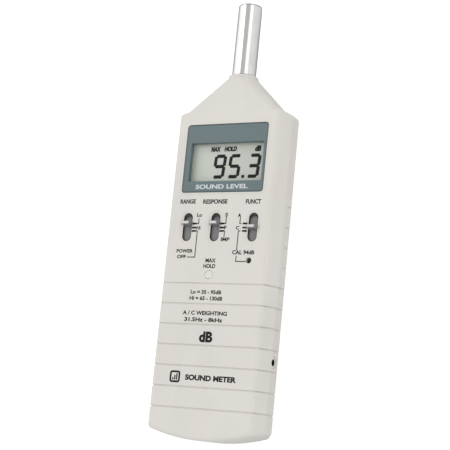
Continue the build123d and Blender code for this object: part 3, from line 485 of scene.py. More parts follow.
@dataclass(frozen=True)
class DisplayGlass(Finish):
    """The reflecting liquid-crystal display under its polariser.

    Args:
        colour: The grey-green of the resting display.
        rim_colour: The glass outside the polariser.
        centre: Middle of the polariser in plan, in millimetres.
        half_size: Half its width and length, in millimetres.
    """

    colour: Colour
    rim_colour: Colour
    centre: Spot
    half_size: Spot

    def lay(self, sheet: NodeSheet) -> None:
        """Makes the display: a brushed reflector behind the film, under painted light that is lighter
        at the left and darker at the right.
        """
        x = sheet.millimetres("X")
        y = sheet.millimetres("Y")
        reflector = sheet.noise(0.28, detail=2.0, stretch=(1.0, 0.15, 1.0))
        cloud = sheet.noise(11.0, detail=2.0)
        # Painted light: the film is painted lighter at its left and darker at its right.
        painted_light_slope = sheet.span(x, self.centre[0] - self.half_size[0], self.centre[0] + self.half_size[0])
        film = sheet.blend(painted_light_slope, shade(self.colour, 1.07), shade(self.colour, 0.93))
        film = sheet.blend(sheet.span(cloud, 0.35, 0.7, 0.0, 0.4), film, shade(self.colour, 0.96))
        film = sheet.blend(sheet.span(reflector, 0.4, 0.8, 0.0, 0.35), film, shade(self.colour, 0.9))
        off_x = sheet.sum("SUBTRACT", sheet.sum("ABSOLUTE", sheet.sum("SUBTRACT", x, self.centre[0])),
                          self.half_size[0])
        off_y = sheet.sum("SUBTRACT", sheet.sum("ABSOLUTE", sheet.sum("SUBTRACT", y, self.centre[1])),
                          self.half_size[1])
        outside = sheet.span(sheet.sum("MAXIMUM", off_x, off_y), -0.1, 0.1)
        sheet.put("Base Color", sheet.blend(outside, film, self.rim_colour))
        sheet.put("Roughness", sheet.span(reflector, 0.3, 0.7, 0.28, 0.42))
        sheet.put("Specular IOR Level", 0.5)
        sheet.emboss(reflector, 0.002, 0.4)


@dataclass(frozen=True)
class PrintInk(Finish):
    """Screen-printed ink, a little uneven in cover and gloss.

    Args:
        colour: Its colour.
        spread: How much lighter its thin places are.
        shine: How much it mirrors.
    """

    colour: Colour
    spread: float = 0.5
    shine: float = 0.2

    def lay(self, sheet: NodeSheet) -> None:
        """Makes the ink."""
        cover = sheet.noise(0.8, detail=4.0)
        mesh_marks = sheet.cells(0.18)
        thin = tuple(min(channel + self.spread * 0.02, 0.95) for channel in self.colour)
        sheet.put("Base Color", sheet.blend(sheet.span(cover, 0.35, 0.75), self.colour, thin))
        sheet.put("Roughness", sheet.span(cover, 0.3, 0.7, 0.38, 0.55))
        sheet.put("Specular IOR Level", self.shine)
        sheet.emboss(mesh_marks, 0.004, 0.5)


@dataclass(frozen=True)
class SolderMask(Finish):
    """A circuit board: a cell pattern in place of its tracks and pads, not a real layout.

    Args:
        mask: Colour of the mask over bare board.
        track: Colour of the mask over copper.
        pad: Colour of the tinned pads.
        grid: Size of the pattern's cells, in millimetres.
    """

    mask: Colour = srgb(18, 92, 52)
    track: Colour = srgb(38, 132, 74)
    pad: Colour = srgb(196, 196, 190)
    grid: float = 2.54

    def lay(self, sheet: NodeSheet) -> None:
        """Makes the board."""
        weave = sheet.waves(0.9, "X", 0.4)
        runs = sheet.cells(self.grid, feature="DISTANCE_TO_EDGE")
        copper = sheet.span(runs, 0.06, 0.10, 1.0, 0.0)
        dots = sheet.cells(self.grid * 1.6)
        tinned = sheet.span(dots, 0.13, 0.16, 1.0, 0.0)
        ground = sheet.blend(sheet.sum("MULTIPLY", weave, 0.2), self.mask, shade(self.mask, 1.25))
        covered = sheet.blend(copper, ground, self.track)
        sheet.put("Base Color", sheet.blend(tinned, covered, self.pad))
        sheet.put("Metallic", tinned)
        sheet.put("Roughness", sheet.span(sheet.noise(1.4), 0.3, 0.7, 0.28, 0.4))
        sheet.emboss(copper, 0.035, 0.8)
        sheet.emboss(tinned, 0.08, 0.6)


@dataclass(frozen=True)
class SoftRubber(Finish):
    """Rubber or foam, dull and porous.

    Args:
        colour: Its colour.
        pore: Size of its pores, in millimetres.
        pore_depth: Their depth, in millimetres.
    """

    colour: Colour
    pore: float = 0.3
    pore_depth: float = 0.02

    def lay(self, sheet: NodeSheet) -> None:
        """Makes the rubber."""
        pores = sheet.cells(self.pore)
        bloom = sheet.noise(5.0, detail=4.0)
        base = sheet.tones(sheet.span(bloom, 0.35, 0.7), self.colour, 0.85, 1.2)
        # Painted shade: the pits of the pores are painted darker.
        sheet.put("Base Color", sheet.blend(sheet.span(pores, 0.0, 0.35, 0.5, 0.0), base,
                                            shade(self.colour, 0.4)))
        sheet.put("Roughness", sheet.span(bloom, 0.3, 0.7, 0.72, 0.9))
        sheet.emboss(pores, self.pore_depth, 0.9)


@dataclass(frozen=True)
class PrintedFilm(Finish):
    """The brushed silver film of the rating plate, with a dark printed border.

    Args:
        colour: The film's colour.
        border: The border's colour.
        centre: Middle of the plate in plan, in millimetres.
        half_size: Half its width and length, in millimetres.
    """

    colour: Colour
    border: Colour
    centre: Spot
    half_size: Spot

    def lay(self, sheet: NodeSheet) -> None:
        """Makes the film."""
        brushed = sheet.noise(0.3, detail=3.0, stretch=(0.02, 1.0, 1.0))
        x = sheet.sum("SUBTRACT", sheet.millimetres("X"), self.centre[0])
        y = sheet.sum("SUBTRACT", sheet.millimetres("Y"), self.centre[1])
        off = sheet.sum("MAXIMUM", sheet.sum("SUBTRACT", sheet.sum("ABSOLUTE", x), self.half_size[0]),
                        sheet.sum("SUBTRACT", sheet.sum("ABSOLUTE", y), self.half_size[1]))
        band = sheet.sum("MULTIPLY", sheet.span(off, -1.65, -1.6),
                         sheet.span(off, -1.25, -1.2, 1.0, 0.0))
        base = sheet.blend(sheet.span(brushed, 0.3, 0.7), shade(self.colour, 0.93), self.colour)
        sheet.put("Base Color", sheet.blend(band, base, self.border))
        sheet.put("Metallic", sheet.span(band, 0.0, 1.0, 0.75, 0.0))
        sheet.put("Roughness", sheet.span(brushed, 0.3, 0.7, 0.3, 0.42))
        sheet.emboss(brushed, 0.003, 0.5)


@dataclass(frozen=True)
class ChipResin(Finish):
    """The filled black resin of a chip.

    Args:
        colour: Its colour.
    """

    colour: Colour

    def lay(self, sheet: NodeSheet) -> None:
        """Makes the resin."""
        filler = sheet.noise(0.12, detail=2.0, rough=0.7)
        flow = sheet.noise(3.0, detail=3.0)
        base = sheet.blend(sheet.span(flow, 0.3, 0.7), self.colour, shade(self.colour, 1.6))
        sheet.put("Base Color", sheet.blend(sheet.span(filler, 0.62, 0.8, 0.0, 0.5), base,
                                            shade(self.colour, 4.0)))
        sheet.put("Roughness", sheet.span(flow, 0.3, 0.7, 0.5, 0.62))
        sheet.emboss(filler, 0.008, 0.8)


@dataclass(frozen=True)
class BatteryJacket(Finish):
    """A nine-volt block: a two-tone printed jacket, a rolled metal rim and snap terminals.

    Args:
        lower: Colour of the jacket towards its closed end.
        upper: Colour of the jacket towards its terminals.
        metal: Colour of the rim and the terminals.
        change_y: Where the jacket changes colour, in millimetres.
        shoulder_y: Where the metal shoulder starts, in millimetres.
    """

    lower: Colour = srgb(36, 38, 44)
    upper: Colour = srgb(186, 126, 66)
    metal: Colour = srgb(198, 196, 190)
    change_y: float = -76.0
    shoulder_y: float = -64.2

    def lay(self, sheet: NodeSheet) -> None:
        """Makes the jacket and the metal end."""
        y = sheet.millimetres("Y")
        brushed = sheet.noise(0.35, detail=3.0, stretch=(1.0, 0.03, 1.0))
        dents = sheet.noise(7.0, detail=3.0)
        change = sheet.span(y, self.change_y - 0.1, self.change_y + 0.1)
        jacket = sheet.blend(change, self.lower, self.upper)
        ring = sheet.sum("MULTIPLY", sheet.span(y, self.change_y - 1.3, self.change_y - 1.2),
                         sheet.span(y, self.change_y - 0.6, self.change_y - 0.5, 1.0, 0.0))
        jacket = sheet.blend(ring, jacket, srgb(216, 212, 200))
        bare = sheet.span(y, self.shoulder_y - 0.1, self.shoulder_y + 0.1)
        sheen = sheet.blend(sheet.span(brushed, 0.3, 0.7), shade(self.metal, 0.85), self.metal)
        sheet.put("Base Color", sheet.blend(bare, jacket, sheen))
        sheet.put("Metallic", bare)
        sheet.put("Roughness", sheet.span(dents, 0.3, 0.7, 0.26, 0.4))
        sheet.emboss(dents, 0.05, 0.4)
        sheet.emboss(brushed, 0.003, 0.4)


@dataclass(frozen=True)
class WireSheath(Finish):
    """The sheath of thin wires that lie side by side, each in its own colour.

    Args:
        left: Colour of the wires left of the middle.
        right: Colour of the wires right of it.
    """

    left: Colour = srgb(40, 40, 42)
    right: Colour = srgb(176, 34, 30)

    def lay(self, sheet: NodeSheet) -> None:
        """Makes the sheath, with the faint ripple that extruding leaves."""
        ripple = sheet.noise(0.9, detail=2.0, stretch=(1.0, 0.4, 1.0))
        side = sheet.span(sheet.axis("X"), 0.9 * MM, 1.1 * MM)
        base = sheet.blend(side, self.left, self.right)
        rub = sheet.span(ripple, 0.4, 0.7, 0.0, 0.2)
        sheet.put("Base Color", sheet.blend(rub, base, srgb(150, 140, 135)))
        sheet.put("Roughness", sheet.span(ripple, 0.3, 0.7, 0.36, 0.5))
        sheet.emboss(ripple, 0.02, 0.5)


@dataclass(frozen=True)
class StudioFloor(Finish):
    """The pale paper sweep under the object.

    Args:
        colour: Its colour.
        glow: How strongly it glows to the camera; none of that light reaches the object.
    """

    colour: Colour
    glow: float

    def lay(self, sheet: NodeSheet) -> None:
        """Makes the paper."""
        fibres = sheet.noise(1.2, detail=3.0)
        sheet.put("Base Color", sheet.blend(fibres, shade(self.colour, 0.995), self.colour))
        sheet.put("Roughness", sheet.span(fibres, 0.3, 0.7, 0.85, 0.95))
        sheet.put("Specular IOR Level", 0.1)
        sheet.put("Emission Color", (1.0, 1.0, 1.0))
        seen = sheet.nodes.new("ShaderNodeLightPath").outputs["Is Camera Ray"]
        sheet.put("Emission Strength", sheet.sum("MULTIPLY", seen, self.glow))
        sheet.emboss(fibres, 0.01, 0.2)


CASE_COLOUR = srgb(219, 216, 210)
CASE = MouldedPlastic("warm_grey_case", CASE_COLOUR)
BEZEL = MouldedPlastic("slate_bezel", srgb(97, 114, 117), grain=0.22, grain_depth=0.006, roughness=0.4)
BLACK_NYLON = MouldedPlastic("black_nylon", srgb(34, 34, 36), grain=0.2, roughness=0.5, mottle=0.1)
WHITE_NYLON = MouldedPlastic("white_nylon", srgb(226, 225, 218), grain=0.25, roughness=0.4)
SCREEN = DisplayGlass("display_film", srgb(196, 201, 191), srgb(96, 104, 100), (0.65, 27.6),
                      (22.4, 12.2))
DARK_INK = PrintInk("black_print", srgb(16, 15, 15))
GREY_INK = PrintInk("fine_grey_print", srgb(34, 33, 33))
WHITE_INK = PrintInk("white_print", srgb(206, 212, 214), spread=0.2)
SEGMENT_INK = PrintInk("dark_segments", srgb(4, 4, 4), spread=0.02, shine=0.08)

FINISHES: dict[str, Finish] = {
    "case_plastic": CASE,
    "label_film": PrintedFilm("silver_plate", srgb(200, 200, 198), srgb(60, 60, 62), (0.0, 18.0),
                              (19.8, 12.8)),
    "bezel_plastic": BEZEL,
    "window_clear": ClearPane("clear_window", srgb(236, 242, 242)),
    "lcd_glass": SCREEN,
    "frame_plastic": WHITE_NYLON,
    "contact_rubber": SoftRubber("contact_rubber", srgb(46, 46, 48)),
    "circuit_board": SolderMask("green_board"),
    "button_plastic": MouldedPlastic("grey_button", srgb(222, 219, 213), grain=0.25, roughness=0.36),
    "switch_plastic": BLACK_NYLON,
    "trimmer_plastic": MouldedPlastic("blue_trimmer", srgb(32, 72, 140), grain=0.2, roughness=0.35),
    "rotor_brass": WorkedMetal("rotor_brass", srgb(128, 120, 104), 0.4, (1.0, 1.0, 0.1)),
    "chip_resin": ChipResin("chip_resin", srgb(26, 26, 28)),
    "can_aluminium": WorkedMetal("can_aluminium", srgb(190, 192, 194), 0.28, (1.0, 1.0, 0.08)),
    "can_steel": WorkedMetal("can_steel", srgb(176, 176, 174), 0.22),
    "microphone_chrome": PolishedTube("polished_microphone", srgb(243, 243, 241)),
    "insulator_plastic": MouldedPlastic("insulator", srgb(238, 236, 228), grain=0.2, roughness=0.3),
    "contact_gold": WorkedMetal("contact_gold", srgb(224, 184, 96), 0.2, tarnish=srgb(150, 112, 48)),
    "lead_insulation": WireSheath("wire_sheath"),
    "battery_can": BatteryJacket("battery_jacket"),
    "pad_foam": SoftRubber("black_foam", srgb(52, 52, 54), pore=0.9, pore_depth=0.25),
    "insert_brass": ThreadedBrass("insert_brass", srgb(204, 172, 104), 0.26),
    "screw_steel": WorkedMetal("screw_steel", srgb(168, 168, 166), 0.26, (1.0, 1.0, 0.2)),
    "switch_metal": WorkedMetal("switch_steel", srgb(182, 182, 178), 0.3),
    "knob_plastic": PaleCrestPlastic("grey_knob", srgb(127, 127, 127), grain=0.22, roughness=0.38,
                                   mottle=0.06),
}


# ---- modelling ----------------------------------------------------------------------------


class Weight(Enum):
    """How heavy a line of lettering is: its outline grows by this share of the letter height."""

    PLAIN = 0.034
    BOLD = 0.05
    HEAVY = 0.075


class Bearing(Enum):
    """The four ways a printed line can run on the face."""

    RIGHT = (1.0, 0.0)
    LEFT = (-1.0, 0.0)
    UP = (0.0, 1.0)
    DOWN = (0.0, -1.0)


def clear_selection() -> None:
    """Leaves nothing selected, in object mode."""
    if bpy.context.object is not None and bpy.context.object.mode != "OBJECT":
        bpy.ops.object.mode_set(mode="OBJECT")
    bpy.ops.object.select_all(action="DESELECT")


def only(piece: bpy.types.Object) -> None:
    """Makes one piece the selected and active one."""
    clear_selection()
    piece.select_set(True)
    bpy.context.view_layer.objects.active = piece


def join(pieces: list[bpy.types.Object], name: str) -> bpy.types.Object:
    """Joins pieces into the first of them.

    Args:
        pieces: The pieces.
        name: The name of the result.

    Returns:
        The joined piece.
    """
    only(pieces[0])
    for piece in pieces[1:]:
        piece.select_set(True)
    if len(pieces) > 1:
        bpy.ops.object.join()
    pieces[0].name = name
    pieces[0].data.name = name
    return pieces[0]


def seal(piece: bpy.types.Object, distance: float = 0.002) -> None:
    """Merges doubled points and turns all faces outwards.

    Args:
        piece: The piece.
        distance: How near two points are merged, in millimetres.
    """
    only(piece)
    bpy.ops.object.mode_set(mode="EDIT")
    bpy.ops.mesh.select_all(action="SELECT")
    bpy.ops.mesh.remove_doubles(threshold=distance * MM)
    bpy.ops.mesh.normals_make_consistent(inside=False)
    bpy.ops.object.mode_set(mode="OBJECT")


def pick(piece: bpy.types.Object, kind: str, test: Callable[[Vector], bool]) -> None:
    """Selects the faces or edges whose middle passes a test, in edit mode.

    Args:
        piece: The piece that is being edited.
        kind: "faces" or "edges".
        test: Tells by the middle, in metres, whether an element is wanted.
    """
    bpy.ops.mesh.select_all(action="DESELECT")
    bpy.ops.mesh.select_mode(type="FACE" if kind == "faces" else "EDGE")
    mesh = bmesh.from_edit_mesh(piece.data)
    for element in getattr(mesh, kind):
        middle = sum((corner.co for corner in element.verts), Vector()) / len(element.verts)
        element.select = test(middle)
    mesh.select_flush(True)
    bmesh.update_edit_mesh(piece.data)


def flat_square(centre: Spot, size: Spot, z: float) -> bpy.types.Object:
    """A flat rectangle to start a printed shape from, as the active object.

    Args:
        centre: Its middle in plan, in millimetres.
        size: Its width and length, in millimetres.
        z: Its height, in millimetres.

    Returns:
        The rectangle.
    """
    clear_selection()
    bpy.ops.mesh.primitive_plane_add(size=1.0)
    sheet = bpy.context.active_object
    sheet.data.transform(Matrix.Translation(Vector((*centre, z)) * MM)
                         @ Matrix.Diagonal((size[0] * MM, size[1] * MM, 1.0, 1.0)))
    return sheet


def thicken(piece: bpy.types.Object, thickness: float) -> None:
    """Gives a flat printed shape its thickness, upwards.

    Args:
        piece: The flat shape, with its top at the height where the print starts.
        thickness: The thickness in millimetres.
    """
    only(piece)
    bpy.ops.object.mode_set(mode="EDIT")
    bpy.ops.mesh.select_all(action="SELECT")
    bpy.ops.mesh.extrude_region_move(TRANSFORM_OT_translate={"value": (0.0, 0.0, thickness * MM)})
    bpy.ops.object.mode_set(mode="OBJECT")
    seal(piece)


def ride(piece: bpy.types.Object, body: str, finish_of: bpy.types.Material) -> bpy.types.Object:
    """Finishes a new piece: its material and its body.

    Args:
        piece: The piece, in place.
        body: The body that carries it.
        finish_of: Its material.

    Returns:
        The piece.
    """
    piece.data.materials.clear()
    piece.data.materials.append(finish_of)
    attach(piece, body)
    LOG.info("piece %s on %s: %d faces", piece.name, body, len(piece.data.polygons))
    return piece


@dataclass(frozen=True)
class Caption:
    """One line of lettering on a level surface.

    Args:
        text: What it says.
        centre: Its middle in plan, in millimetres.
        size: Its width and height, in millimetres.
        weight: How heavy it is.
        lean: How far its top leans to the right, as a share of its height.
    """

    text: str
    centre: Spot
    size: Spot
    weight: Weight = Weight.PLAIN
    lean: float = 0.0

    def build(self, z: float, thickness: float, flip: bool = False) -> bpy.types.Object:
        """Models the lettering.

        Args:
            z: Height of its underside, in millimetres.
            thickness: Its thickness, in millimetres.
            flip: True to have it read from below.

        Returns:
            The lettering as a mesh.
        """
        clear_selection()
        bpy.ops.object.text_add()
        line = bpy.context.active_object
        line.data.body = self.text
        line.data.resolution_u = 5
        line.data.offset = self.weight.value
        line.data.extrude = 0.5
        bpy.ops.object.convert(target="MESH")
        corners = [vertex.co for vertex in line.data.vertices]
        low = Vector([min(corner[i] for corner in corners) for i in range(3)])
        high = Vector([max(corner[i] for corner in corners) for i in range(3)])
        extent = high - low
        side = -1.0 if flip else 1.0
        stretch = Matrix.Diagonal((side * self.size[0] / extent.x * MM, self.size[1] / extent.y * MM,
                                   thickness / extent.z * MM, 1.0))
        slant = Matrix.Identity(4)
        slant[0][1] = self.lean
        place = Matrix.Translation(Vector((*self.centre, z + thickness / 2)) * MM)
        line.data.transform(place @ slant @ stretch @ Matrix.Translation(-(low + high) / 2))
        seal(line, 0.001)
        return line


@dataclass(frozen=True)
class InkLine:
    """A printed line that starts at a spot and turns only at right angles.

    Args:
        start: Where its middle starts, in millimetres.
        legs: Each leg's bearing and length, in millimetres.
        width: Its width, in millimetres.
    """

    start: Spot
    legs: tuple[tuple[Bearing, float], ...]
    width: float = 0.5

    def build(self, z: float, thickness: float) -> bpy.types.Object:
        """Models the line: a square drawn out leg by leg, with a square left at each corner.

        Args:
            z: Height of its underside, in millimetres.
            thickness: Its thickness, in millimetres.

        Returns:
            The line as a mesh.
        """
        half = self.width / 2
        line = flat_square(self.start, (self.width, self.width), z)
        bpy.ops.object.mode_set(mode="EDIT")
        corner = Vector((*self.start, z))
        for bearing, length in self.legs:
            way = Vector((*bearing.value, 0.0))
            for step in (length - self.width, self.width):
                edge = (corner + way * half) * MM
                pick(line, "edges", lambda middle, edge=edge: (middle - edge).length < 0.1 * half * MM)
                bpy.ops.mesh.extrude_region_move(TRANSFORM_OT_translate={"value": way * step * MM})
                corner = corner + way * step
        bpy.ops.object.mode_set(mode="OBJECT")
        thicken(line, thickness)
        return line


def bar(centre: Spot, size: Spot, z: float, thickness: float,
        rounding: float = 0.0) -> bpy.types.Object:
    """A printed bar, its corners rounded where it has a rounding.

    Args:
        centre: Its middle in plan, in millimetres.
        size: Its width and length, in millimetres.
        z: Height of its underside, in millimetres.
        thickness: Its thickness, in millimetres.
        rounding: Radius of its corners, in millimetres.

    Returns:
        The bar as a mesh.
    """
    sheet = flat_square(centre, size, z)
    if rounding:
        bpy.ops.object.mode_set(mode="EDIT")
        bpy.ops.mesh.select_all(action="SELECT")
        steps = 5 if rounding < 1.0 else 16
        bpy.ops.mesh.bevel(offset=rounding * MM, segments=steps, affect="VERTICES")
        bpy.ops.object.mode_set(mode="OBJECT")
    thicken(sheet, thickness)
    return sheet


def cut_away(body: bpy.types.Object, tool: bpy.types.Object) -> None:
    """Cuts one solid out of another and drops the tool.

    Args:
        body: The solid that keeps its name.
        tool: The solid that is taken away.
    """
    cut = body.modifiers.new("cut", "BOOLEAN")
    cut.operation = "DIFFERENCE"
    cut.solver = "EXACT"
    cut.object = tool
    only(body)
    bpy.ops.object.modifier_apply(modifier=cut.name)
    bpy.data.objects.remove(tool)


def washer(name: str, centre: tuple[float, float, float], turn: float, axis: str, radii: Spot,
           thickness: float) -> bpy.types.Object:
    """A thin flat ring round an axis.

    Args:
        name: The piece's name.
        centre: Its middle, in millimetres.
        turn: Angle that lays its axis along the one wanted, in degrees.
        axis: The letter of the axis that it is turned about.
        radii: Its inner and its outer radius, in millimetres.
        thickness: Its thickness, in millimetres.

    Returns:
        The ring.
    """
    discs = []
    for radius, depth in ((radii[1], thickness), (radii[0], 3 * thickness)):
        clear_selection()
        bpy.ops.mesh.primitive_cylinder_add(vertices=96, radius=radius * MM, depth=depth * MM)
        discs.append(bpy.context.active_object)
    cut_away(*discs)
    ring = discs[0]
    ring.data.transform(Matrix.Translation(Vector(centre) * MM)
                        @ Matrix.Rotation(math.radians(turn), 4, axis))
    return join([ring], name)


# ---- sub-assemblies -----------------------------------------------------------------------


class SubAssembly:
    """A group of the object's parts that is dressed together."""

    nodes: ClassVar[tuple[str, ...]] = ()
    materials: ClassVar[dict[str, bpy.types.Material]] = {}

    @classmethod
    def finish(cls, finish: Finish) -> bpy.types.Material:
        """A finish's material, made only once for all the parts that share it.

        Args:
            finish: The finish.

        Returns:
            Its material.
        """
        name = finish.name
        if name not in SubAssembly.materials:
            SubAssembly.materials[name] = finish.material()
        return SubAssembly.materials[name]

    def dress(self) -> None:
        """Gives each part of the group the finish of its material slot."""
        slots = {part["node"]: part["material_slot"] for part in frame["record"]["subparts"]}
        for node in self.nodes:
            part = frame["nodes"][node]
            part.data.materials.clear()
            part.data.materials.append(self.finish(FINISHES[slots[node]]))
            LOG.info("part %s dressed as %s", node, slots[node])

    def build(self) -> None:
        """Models what the group adds; most add nothing."""


@dataclass
class CaseShells(SubAssembly):
    """The two shells, the battery door, the rating plate, the case screws and the tripod insert."""

    nodes: ClassVar[tuple[str, ...]] = (
        "front_case", "rear_case", "battery_door", "rear_label", "case_screws", "tripod_insert")
    plate_bottom_z: float = 0.02
    plate_ink: float = 0.015
    plate_lines: tuple[Caption, ...] = (
        Caption("SOUND LEVEL METER", (0.0, 25.2), (29.0, 2.6), Weight.BOLD),
        Caption("35 - 130 dB", (0.0, 19.6), (15.0, 2.2)),
        Caption("31.5 Hz - 8 kHz", (0.0, 15.4), (19.0, 2.2)),
        Caption("9V", (0.0, 11.0), (3.8, 2.2)),
    )

    def build(self) -> None:
        """Prints the rating plate; it reads from below."""
        z = self.plate_bottom_z - self.plate_ink
        lines = [line.build(z, self.plate_ink + 0.01, flip=True) for line in self.plate_lines]
        plate = join(lines, "print_rating_plate")
        ride(plate, "root", self.finish(DARK_INK))


@dataclass
class FacePrint(SubAssembly):
    """The black print on the display face."""

    tick_size: Spot = (2.6, 0.95)
    tick_foot: float = 0.3
    tick_rows: tuple[float, ...] = (-6.3, -8.5, -10.3)
    tick_columns: tuple[float, ...] = (-14.4, 2.35, 15.75)
    headings: tuple[Caption, ...] = (
        Caption("RANGE", (-19.8, 5.9), (9.4, 2.5)),
        Caption("RESPONSE", (-3.2, 5.7), (14.7, 2.5)),
        Caption("FUNCT", (19.5, 5.5), (8.9, 2.5)),
        Caption("POWER", (-18.8, -21.2), (9.9, 2.0)),
        Caption("OFF", (-20.4, -24.3), (5.4, 2.0)),
        Caption("CAL 94dB", (16.3, -21.7), (12.9, 2.3)),
        Caption("MAX", (-2.5, -26.2), (6.1, 2.2)),
        Caption("HOLD", (-2.9, -29.2), (7.1, 2.2)),
    )
    settings: tuple[Caption, ...] = (
        Caption("Lo", (-11.9, -1.6), (3.0, 2.0)),
        Caption("Hi", (-11.8, -8.6), (2.3, 2.0)),
        Caption("S", (4.4, -1.5), (1.6, 2.0)),
        Caption("F", (4.4, -8.5), (1.4, 2.0)),
        Caption("IMP", (4.95, -14.8), (5.1, 2.0)),
        Caption("A", (12.1, -1.9), (2.0, 2.0), Weight.BOLD),
        Caption("C", (11.6, -8.6), (1.9, 2.0)),
    )
    notes: tuple[Caption, ...] = (
        Caption("Lo = 35 - 95dB", (-3.4, -43.1), (18.2, 2.2)),
        Caption("Hi = 65 - 130dB", (-3.05, -46.4), (19.5, 2.2)),
        Caption("A / C WEIGHTING", (-2.85, -54.2), (26.3, 2.2)),
        Caption("31.5Hz - 8kHz", (-3.3, -57.7), (22.6, 2.2)),
        Caption("dB", (-0.75, -66.65), (7.9, 5.7), Weight.BOLD),
        Caption("SOUND METER", (4.3, -88.0), (29.8, 3.0), Weight.BOLD),
    )
    guides: tuple[InkLine, ...] = (
        InkLine((-12.9, -6.3), ((Bearing.RIGHT, 0.9), (Bearing.UP, 2.7))),
        InkLine((-12.9, -10.3), ((Bearing.RIGHT, 0.6), (Bearing.DOWN, 14.2), (Bearing.LEFT, 4.4))),
        InkLine((3.6, -6.3), ((Bearing.RIGHT, 0.8), (Bearing.UP, 3.6))),
        InkLine((3.6, -10.3), ((Bearing.RIGHT, 0.5), (Bearing.DOWN, 3.2))),
        InkLine((13.4, -6.3), ((Bearing.LEFT, 0.7), (Bearing.UP, 3.0))),
        InkLine((13.2, -10.3), ((Bearing.LEFT, 0.9), (Bearing.DOWN, 10.1))),
        InkLine((12.4, -23.7), ((Bearing.DOWN, 2.8), (Bearing.RIGHT, 5.6))),
    )
    badge_centre: Spot = (-16.75, -88.0)
    badge_size: float = 6.2
    badge_width: float = 1.0
    badge_corner: float = 1.4
    level_foot: float = 1.7        # from the badge's middle down to the foot of the bars
    level_pitch: float = 1.15
    level_width: float = 0.75
    level_heights: tuple[float, ...] = (1.2, 2.4, 3.4)

    def build(self) -> None:
        """Prints each group of lettering, the ticks, the lines and the level-bar badge."""
        z = FACE_Z - INK_SUNK
        depth = INK_THICKNESS + INK_SUNK
        ink = self.finish(DARK_INK)
        for name, captions in (("headings", self.headings), ("settings", self.settings),
                               ("notes", self.notes)):
            words = [caption.build(z, depth) for caption in captions]
            ride(join(words, f"print_{name}"), "root", ink)
        ticks = [bar((x, y), self.tick_size, z - self.tick_foot, depth + self.tick_foot, 0.12)
                 for x in self.tick_columns for y in self.tick_rows]
        ride(join(ticks, "print_ticks"), "root", ink)
        lines = [guide.build(z, depth - 0.005) for guide in self.guides]
        ride(join(lines, "print_guide_lines"), "root", self.finish(GREY_INK))
        ride(self.badge(z, depth), "root", ink)

    def badge(self, z: float, depth: float) -> bpy.types.Object:
        """A rounded square ring with three rising bars in it.

        Args:
            z: Height of its underside, in millimetres.
            depth: Its thickness, in millimetres.

        Returns:
            The badge.
        """
        ring = flat_square(self.badge_centre, (self.badge_size, self.badge_size), z)
        bpy.ops.object.mode_set(mode="EDIT")
        bpy.ops.mesh.select_all(action="SELECT")
        bpy.ops.mesh.bevel(offset=self.badge_corner * MM, segments=6, affect="VERTICES")
        bpy.ops.mesh.select_all(action="SELECT")
        bpy.ops.mesh.inset(thickness=self.badge_width * MM)
        bpy.ops.mesh.delete(type="FACE")
        bpy.ops.object.mode_set(mode="OBJECT")
        thicken(ring, depth)
        pieces = [ring]
        base_y = self.badge_centre[1] - self.level_foot
        for index, height in enumerate(self.level_heights):
            x = self.badge_centre[0] + self.level_pitch * (index - 1)
            pieces.append(bar((x, base_y + height / 2), (self.level_width, height), z, depth, 0.1))
        return join(pieces, "print_level_badge")


